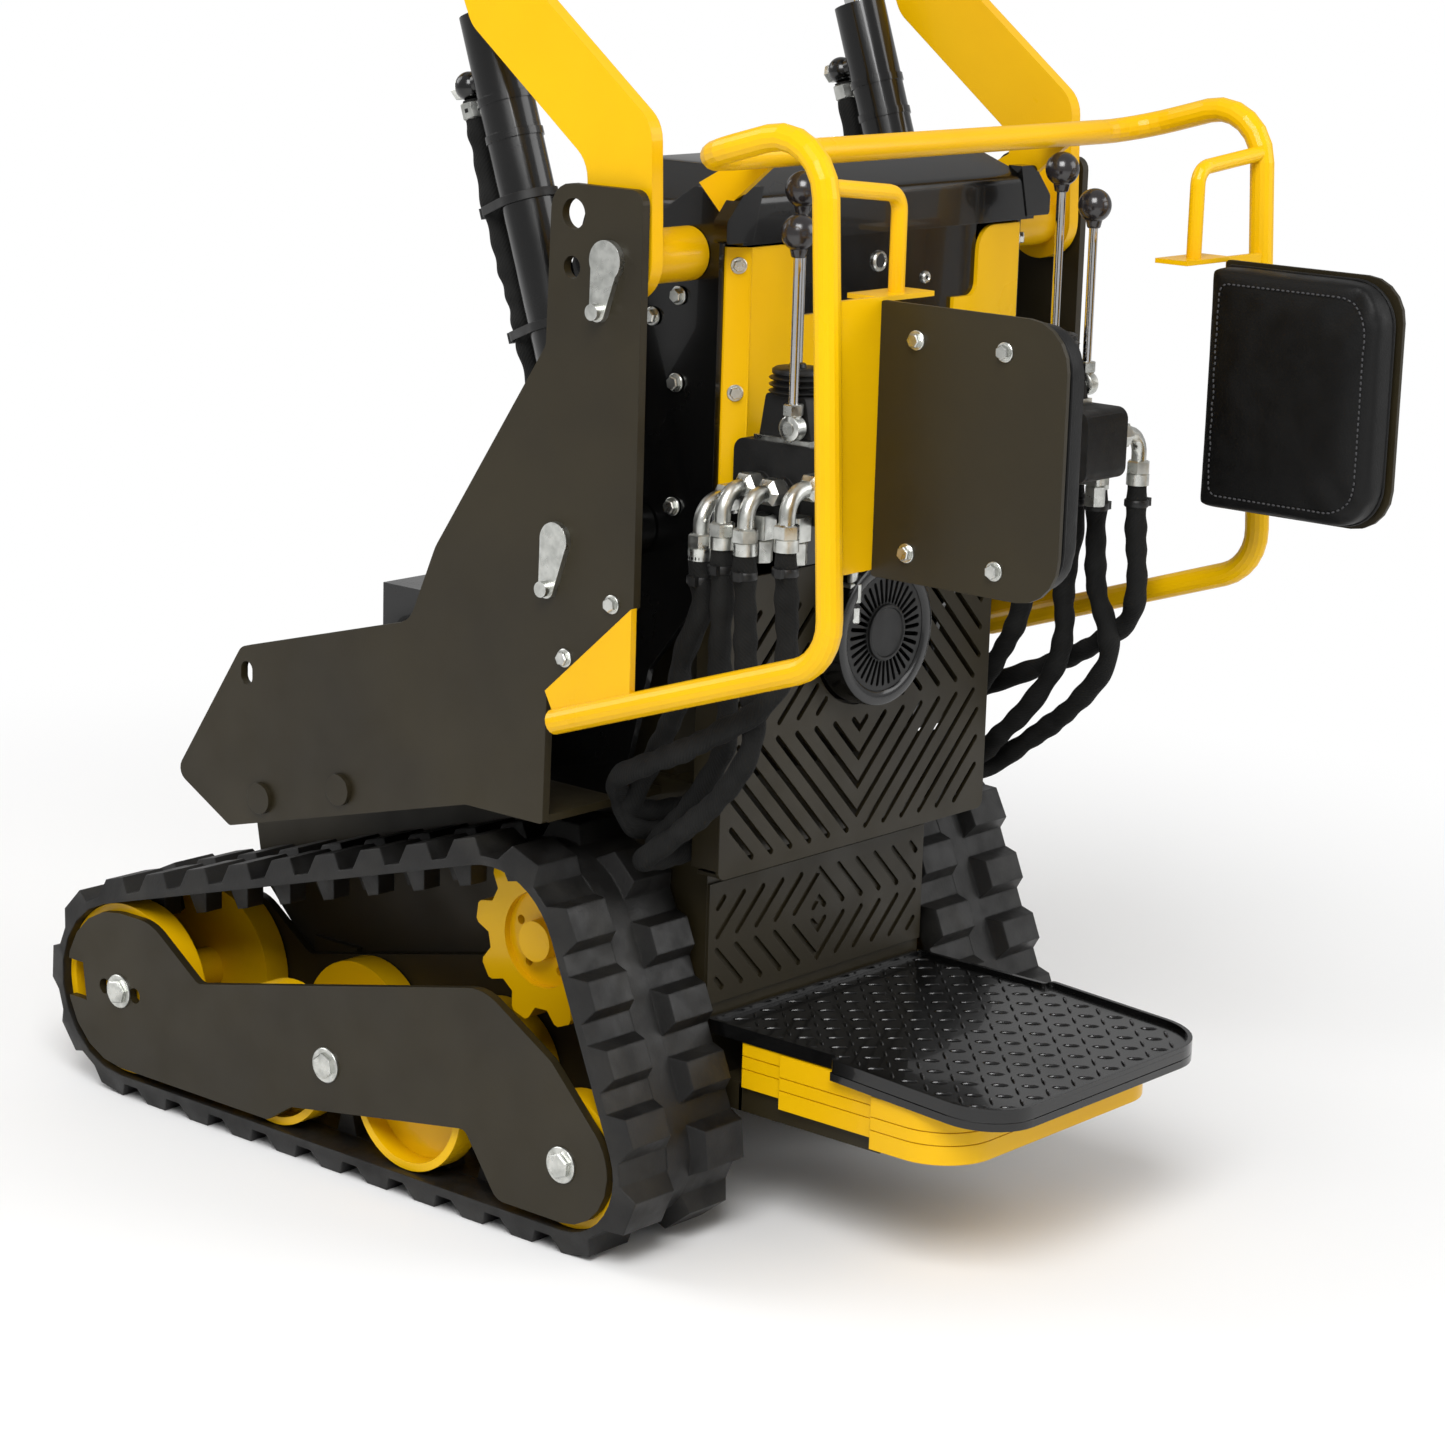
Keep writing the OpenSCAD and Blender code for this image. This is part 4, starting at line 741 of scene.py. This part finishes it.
def barSurface(length, width, height):
    # a bar's height is h (1 - s^2) over its ellipse, s from the rim in
    t = np.linspace(0, 2 * np.pi, 14, endpoint=False)
    rows = [np.column_stack([length / 2 * s * np.cos(t), width / 2 * s * np.sin(t), np.full(14, h)])
            for s, h in ((1, -0.3), (0.8, height * 0.6), (0.45, height * 0.95))]
    return np.vstack(rows), gridFaces(3, 14, True).tolist() + capFaces(3, 14)


t = treadSet
spots, turns = [], []
for i, x in enumerate(np.arange(-168, 169, t["spacing"])):
    for j, y in enumerate(np.arange(t["back"] + 20, t["front"] - 14, t["spacing"])):
        if np.hypot(max(abs(x) - 131, 0), max(t["back"] + 62 - y, 0)) > 46:
            continue
        spots.append((x, y, t["floor"]))
        turns.append(0.785 if (i + j) % 2 else -0.785)
bars = stamp(barSurface(*t["bar"]), spots, np.tile((0, 0, 1), (len(spots), 1)), np.array(turns))
tray = [slab(treadOutline(t, 0), t["low"], t["floor"], *upright),
        holedSheet(treadOutline(t, 0), [treadOutline(t, t["rim"])], t["floor"], t["high"], *upright),
        holedSheet(skirtOutline(t, 0), [skirtOutline(t, t["wall"])], t["skirt"], t["low"] + 1, *upright), bars]
v, f = joined(tray)
v[:, 2] -= t["droop"] * np.maximum(t["step"] - v[:, 1], 0)
addPiece("treadTray", (v, f), "gloss", "root", 35, None, ["tread_plate"])
print("platform done")

# side panels: a flat sheet with a stepped, rounded inner edge, folded forward at its outer side
panelSet = dict(low=778, high=1037, inner=110, step=150, stepZ=964, fold=221, outer=239.5, back=-58, front=-53)
s = panelSet
flat = slab(roundedRing([(s["inner"], s["low"], 0), (s["fold"], s["low"], 0), (s["fold"], s["high"], 0), (s["step"], s["high"], 26),
                         (s["step"] - 1, s["stepZ"], 14), (s["inner"], s["stepZ"], 0)]), s["back"], s["front"], *facing)
wing = slab([(s["fold"] - 1, s["back"]), (s["outer"], -41), (s["outer"], -12), (s["outer"] - 5, -12), (s["outer"] - 5, -39), (s["fold"] - 3, s["front"])],
            s["low"], s["high"], *upright)
addPiece("foldedSidePanels", bothSides(joined([flat, wing])), "yellow", "root", 30, None, ["side_panels"])

# console: flat panel with a ring-shaped key switch and a socket, and the hood's wings above it
consoleSet = dict(half=150, low=705, high=1040, back=-53, front=-48, keys=[(-14, 1010, 11), (65, 988, 6.5)])
s = consoleSet
plate = slab([(-s["half"], s["low"]), (s["half"], s["low"]), (s["half"], s["high"]), (-s["half"], s["high"])], s["back"], s["front"], *facing)
addPiece("consolePanel", plate, "gloss", "root", 30, None, ["control_panel"])
rings = [lathe([(52, k), (55, k), (56.5, k - 1.2), (56.5, k - 3), (55, k - 4), (55, 0.4)], (x, 0, z), away, 36) for x, z, k in s["keys"]]
faces = [lathe([(54.5, k - 4.2), (56, k - 4.6), (56, 0.4)], (x, 0, z), away, 36) for x, z, k in s["keys"]]
addPiece("consoleFittings", joined(rings), "zinc", "root", 35)
addPiece("consoleFaces", joined(faces), "nylon", "root", 35)
wingSet = dict(back=-63.5, front=-46, ring=[(226, 1043, 0), (266, 1043, 4), (266, 1064, 8), (236, 1097, 8), (212, 1097, 0)])
addPiece("hoodWings", bothSides(slab(roundedRing(wingSet["ring"]), wingSet["back"], wingSet["front"], *facing)), "gloss", "root", 30)
# hood: the CAD shell cut into rows, each row drawn back so that the front follows the outer plates' slope:
# y = hinge + (y - hinge) * (new front - hinge) / (CAD front - hinge), both fronts read off (z, y) lines
hoodSet = dict(hinge=130, was=[(640, 430), (800, 430), (1112, 130)], now=[(640, 340), (682, 340), (880, 205), (1112, 130)], rows=range(682, 1100, 33), engineFront=250)


def drawnHood(h):
    work = bmesh.new()
    work.from_mesh(nodes["hood"].data)
    bmesh.ops.remove_doubles(work, verts=work.verts, dist=0.02 * mm)
    for z in h["rows"]:
        bmesh.ops.bisect_plane(work, geom=work.verts[:] + work.edges[:] + work.faces[:], plane_co=(0, 0, z * mm), plane_no=(0, 0, 1))
    work.verts.index_update()
    v = np.array([vert.co[:] for vert in work.verts]) / mm - [0, pivotY, 0]
    f = [[vert.index for vert in face.verts] for face in work.faces]
    work.free()
    was, now = (np.interp(v[:, 2], *zip(*h[key])) - h["hinge"] for key in ("was", "now"))
    past = v[:, 1] - h["hinge"]
    v[:, 1] += np.where(past > 0, past * (now / np.maximum(was, 1e-6) - 1), 0)
    return v, f


addPiece("slopedHood", drawnHood(hoodSet), "gloss", "root", 30, None, ["hood"])
v, f = nodeSurface("engine")
v[:, 1] = np.minimum(v[:, 1], hoodSet["engineFront"])
addPiece("engineBlock", (v, f), "satin", "root", 30, None, ["engine"])
print("console and hood done")

# track frames: the CAD plates with their shaft ends flush, and zinc hex bolts on washers over them
frameSet = dict(face=370.0, bolt=dict(headRadius=14.5, headHeight=5.2, flangeRadius=19.5, flange=3.0), at=[(726, 128), (384, 122), (34, 99)])
v, f = nodeSurface("track_frames")
v[:, 0] = np.clip(v[:, 0], -frameSet["face"], frameSet["face"])
addPiece("framePlates", (v, f), "satin", "root", 30, None, ["track_frames"])
v, f = hexBolt(frameSet["bolt"])
heads = stamp((v, f), [(frameSet["face"], y, z) for y, z in frameSet["at"]], np.tile((1, 0, 0), (3, 1)), np.array([0.3, 0.9, 0.1]))
addPiece("frameBolts", bothSides(heads), "zinc", "root", 30)

# track lugs: a lug's points lean in towards its own middle by taper * (height over the belt) / (lug height)
trackSet = dict(wheels=[(726, 128, 100), (142, 300, 94), (34, 99, 71)], belt=10, lug=18, taper=7, split=5)


def overBelt(p, t):
    # height over the belt = largest over all headings of (n . p - reach of the three wheels along n)
    a = np.radians(np.arange(0, 360, 1.0))
    n = np.column_stack([np.cos(a), np.sin(a)])
    w = np.asarray(t["wheels"], float)
    reach = (w[:, :2] @ n.T + w[:, 2:]).max(0) + t["belt"]
    return (p @ n.T - reach).max(1)


for side, word in ((-1, "left"), (1, "right")):
    v, f = nodeSurface("track_" + word)
    high = np.clip(overBelt(v[:, 1:], trackSet) / trackSet["lug"], 0, 1)
    rows = np.unique(np.round(v[high > 0.5, 0], 1))
    for x in rows:
        # each row of lugs has an inner and an outer end
        ends = rows.reshape(-1, 2)
        middle = ends[np.abs(ends - x).min(1).argmin()].mean()
        at = (np.abs(v[:, 0] - x) < 0.2) & (high > 0.5)
        v[at, 0] += np.sign(middle - x) * trackSet["taper"] * high[at]
    addPiece("lugTrack_" + word, (v, f), "track", "root", 30, None, ["track_" + word])
print("tracks done")

# cushions: foam under vinyl, blown up by cloth pressure from a thinner copy of the CAD pad, held along the plate
padSet = dict(shrink=(0.82, 0.985, 0.985), voxel=5.0, pressure=4.0, frames=20, cap=8.0, held=5.0, piping=2.0, inset=2.0, corner=45, stitch=(17, 6.0, 1.0))


def padRing(low, high, g, corner):
    return roundedRing([(low[1] + g, low[2] + g, corner), (high[1] - g, low[2] + g, 10), (high[1] - g, high[2] - g, 10), (low[1] + g, high[2] - g, corner)])


def puffedPad(node, p):
    v, f = nodeSurface(node)
    low, high = v.min(0), v.max(0)
    base = np.array([high[0], (low[1] + high[1]) / 2, (low[2] + high[2]) / 2])
    v = base + (v - base) * p["shrink"]
    mesh = bpy.data.meshes.new("pad")
    mesh.from_pydata(place(v).tolist(), [], f)
    tidy(mesh)
    work = bpy.data.objects.new("pad", mesh)
    bpy.context.scene.collection.objects.link(work)
    shell = work.modifiers.new("shell", "REMESH")
    shell.mode, shell.voxel_size = "VOXEL", p["voxel"] * mm
    mesh = bpy.data.meshes.new_from_object(work.evaluated_get(bpy.context.evaluated_depsgraph_get()))
    work.modifiers.clear()
    work.data = mesh
    start = np.zeros(len(mesh.vertices) * 3)
    mesh.vertices.foreach_get("co", start)
    start = start.reshape(-1, 3)
    held = work.vertex_groups.new(name="held")
    held.add(np.nonzero(start[:, 0] > high[0] * mm - p["held"] * mm)[0].tolist(), 1.0, "REPLACE")
    cloth = work.modifiers.new("cloth", "CLOTH")
    cloth.settings.use_pressure, cloth.settings.uniform_pressure_force = True, p["pressure"]
    cloth.settings.effector_weights.gravity = 0.0
    cloth.settings.tension_stiffness = cloth.settings.compression_stiffness = 60.0
    cloth.settings.bending_stiffness = 12.0
    cloth.settings.vertex_group_mass = "held"
    cloth.point_cache.frame_start, cloth.point_cache.frame_end = 1, p["frames"]
    for step in range(1, p["frames"] + 1):
        bpy.context.scene.frame_set(step)
    blown = work.evaluated_get(bpy.context.evaluated_depsgraph_get()).to_mesh()
    end = np.zeros(len(start) * 3)
    blown.vertices.foreach_get("co", end)
    move = end.reshape(-1, 3) - start
    size = np.linalg.norm(move, axis=1, keepdims=True)
    v = (start + move * np.minimum(1, p["cap"] * mm / np.maximum(size, 1e-9))) / mm - [0, pivotY, 0]
    f = [list(face.vertices) for face in mesh.polygons]
    bpy.context.scene.frame_set(1)
    bpy.data.objects.remove(work)
    ring = padRing(low, high, p["inset"], p["corner"])
    ring = np.vstack([ring, ring[:2]])
    seam = sweep(np.column_stack([np.full(len(ring), high[0] - 9), ring]), p["piping"], 10)
    # stitches: short bars every few mm along an inner ring, on the nearest of the cover's points
    inset, gap, radius = p["stitch"]
    ring = padRing(low, high, inset, p["corner"] - inset * 0.6)
    ring = np.vstack([ring, ring[:1]])
    run = np.concatenate([[0], np.cumsum(np.linalg.norm(np.diff(ring, axis=0), axis=1))])
    at = np.arange(0, run[-1] - gap, gap)
    spots = np.column_stack([np.interp(at, run, ring[:, k]) for k in (0, 1)])
    heads = np.column_stack([np.interp(at + 1, run, ring[:, k]) for k in (0, 1)]) - spots
    face = [v[np.hypot(*(v[:, 1:] - q).T) < 8, 0].min(initial=high[0] - 6) for q in spots]
    thread = lathe([(-1.8, 0.5), (-1.2, radius), (1.2, radius), (1.8, 0.5)], (0, 0, 0), (0, 0, 1), 6)
    stitches = stamp(thread, np.column_stack([face, spots]), np.column_stack([np.zeros(len(at)), heads]))
    return (v, f), seam, stitches


pad, seam, stitches = puffedPad("cushion_right", padSet)
for side, word in ((-1, "left"), (1, "right")):
    piece = addPiece("vinylCushion_" + word, pad if side > 0 else flipX(pad), "vinyl", "root", 60, None, ["cushion_" + word])
    calm = piece.modifiers.new("calm", "SMOOTH")
    calm.factor, calm.iterations = 0.5, 8
    smoothing = piece.modifiers.new("smoothing", "SUBSURF")
    smoothing.levels = smoothing.render_levels = 1
    addPiece("cushionSeam_" + word, seam if side > 0 else flipX(seam), "vinyl", "root", 60)
    addPiece("cushionStitches_" + word, stitches if side > 0 else flipX(stitches), "thread", "root", 60)
print("cushions done")

# lift cylinders: hex nuts at the hose ends, banjo bolts and ties
banjoSet = dict(nuts=[(436, 454), (124, 142)], off=-46, nut=13.8, bolts=[470, 108], ties=[343, 214], band=(29.7, 14.4, 1.4, 4.5))


def hullRing(circles, grow):
    # outline round circles (u, v, r): for each heading n the circle with the largest n . c + r gives c + (r + grow) n
    c = np.asarray(circles, float)
    a = np.linspace(0, 2 * np.pi, 96, endpoint=False)
    n = np.column_stack([np.cos(a), np.sin(a)])
    k = (n @ c[:, :2].T + c[:, 2]).argmax(1)
    return c[k, :2] + (c[k, 2:] + grow) * n


for side, word in ((-1, "left"), (1, "right")):
    lean = np.radians(liftHose["lean"])
    axis, down = (0, np.cos(lean), np.sin(lean)), (0, np.sin(lean), -np.cos(lean))
    seat = alongBarrel([(0, banjoSet["off"], 0)], liftHose["lean"], liftHose["base"], side * liftHose["x"])[0]
    metal = [lathe([(a, 11.5), (a + 1.5, banjoSet["nut"]), (b - 1.5, banjoSet["nut"]), (b, 11.5)], seat, axis, 6) for a, b in banjoSet["nuts"]]
    metal += [lathe([(8, 10), (9.5, 11), (17, 11), (18, 9.5)], seat + np.array(axis) * l, down, 6) for l in banjoSet["bolts"]]
    addPiece("banjoFittings_" + word, joined(metal), "zinc", "lift_barrel_" + word, 35)
    barrelR, hoseR, thick, wide = banjoSet["band"]
    middle = seat + np.array(down) * banjoSet["off"]
    wrap = [(0, 0, barrelR), (0, -banjoSet["off"], hoseR)]
    straps = [holedSheet(hullRing(wrap, thick), [hullRing(wrap, 0)], l - wide, l + wide, middle, (1, 0, 0), down, axis) for l in banjoSet["ties"]]
    straps += [slab([(-4, hoseR - 1), (4, hoseR - 1), (4, hoseR + 7), (-4, hoseR + 7)], l - wide - 1, l + wide + 1, seat, (1, 0, 0), down, axis) for l in banjoSet["ties"]]
    addPiece("hoseStraps_" + word, joined(straps), "nylon", "lift_barrel_" + word, 35)
print("fittings done")

# light and floor
studio = dict(floorColour="efefef", sky=0.5, key=245.0, fill=85.0)


def addStudio(s):
    world = bpy.data.worlds.new("softStudio")
    bpy.context.scene.world = world
    world.use_nodes = True
    tree = world.node_tree
    back = tree.nodes["Background"]
    back.inputs["Color"].default_value = (1, 1, 1, 1)
    back.inputs["Strength"].default_value = s["sky"]
    # what the camera and mirrors see is plain white
    seen = addNode(tree, "ShaderNodeBackground", {"Color": (1, 1, 1, 1), "Strength": 1.0})
    rays = addNode(tree, "ShaderNodeLightPath")
    mix = addNode(tree, "ShaderNodeMixShader", {}, {"Fac": (rays, "Is Camera Ray")})
    tree.links.new(back.outputs[0], mix.inputs[1])
    tree.links.new(seen.outputs[0], mix.inputs[2])
    tree.links.new(mix.outputs[0], tree.nodes["World Output"].inputs["Surface"])
    for name, energy, at, size, aim in (
            ("keyLamp", s["key"], (-3.2, -2.6, 4.2), 2.6, (0, -0.3, 0.8)),
            ("fillLamp", s["fill"], (2.6, -4.2, 2.6), 3.0, (0, -0.3, 0.8)),
            ("frontLamp", s["fill"], (-1.5, 4.0, 3.5), 3.0, (0, 0.0, 1.0))):
        data = bpy.data.lights.new(name, "AREA")
        data.energy, data.size = energy, size
        lamp = bpy.data.objects.new(name, data)
        look = np.array(aim) - np.array(at)
        look = look / np.linalg.norm(look)
        side = np.cross(look, (0, 0, 1.0))
        side /= np.linalg.norm(side)
        up = np.cross(side, look)
        turn = Matrix(np.column_stack([side, up, -look]).tolist()).to_4x4()
        turn.translation = at
        lamp.matrix_world = turn
        bpy.context.scene.collection.objects.link(lamp)


def addFloor(s):
    # flat disc, 14 m across, a hair under the lugs
    angle = np.linspace(0, 2 * np.pi, 64, endpoint=False)
    ring = np.column_stack([7 * np.cos(angle), 7 * np.sin(angle), np.full(64, -0.0005)])
    mesh = bpy.data.meshes.new("floor")
    mesh.from_pydata(ring.tolist(), [], [list(range(64))])
    floor = bpy.data.objects.new("floor", mesh)
    bpy.context.scene.collection.objects.link(floor)
    mat = bpy.data.materials.new("paleFloor")
    mat.use_nodes = True
    tree = mat.node_tree
    shader = tree.nodes["Principled BSDF"]
    shader.inputs["Base Color"].default_value = linear(s["floorColour"])
    shader.inputs["Roughness"].default_value = 0.9
    # seen by the camera, the floor fades to the white of the background with its distance from the machine
    coords = addNode(tree, "ShaderNodeTexCoord")
    far = addNode(tree, "ShaderNodeVectorMath", {"operation": "LENGTH"}, {"Vector": (coords, "Object")})
    fade = addNode(tree, "ShaderNodeMapRange", {"interpolation_type": "SMOOTHSTEP", "From Min": 0.9, "From Max": 2.2}, {"Value": (far, "Value")})
    rays = addNode(tree, "ShaderNodeLightPath")
    share = addNode(tree, "ShaderNodeMath", {"operation": "MULTIPLY"}, {})
    tree.links.new(fade.outputs["Result"], share.inputs[0])
    tree.links.new(rays.outputs["Is Camera Ray"], share.inputs[1])
    white = addNode(tree, "ShaderNodeEmission", {"Color": (1, 1, 1, 1), "Strength": 1.0})
    mix = addNode(tree, "ShaderNodeMixShader", {}, {"Fac": (share, "Value")})
    tree.links.new(shader.outputs["BSDF"], mix.inputs[1])
    tree.links.new(white.outputs["Emission"], mix.inputs[2])
    tree.links.new(mix.outputs[0], tree.nodes["Material Output"].inputs["Surface"])
    mesh.materials.append(mat)


addStudio(studio)
addFloor(studio)
print("studio ready")
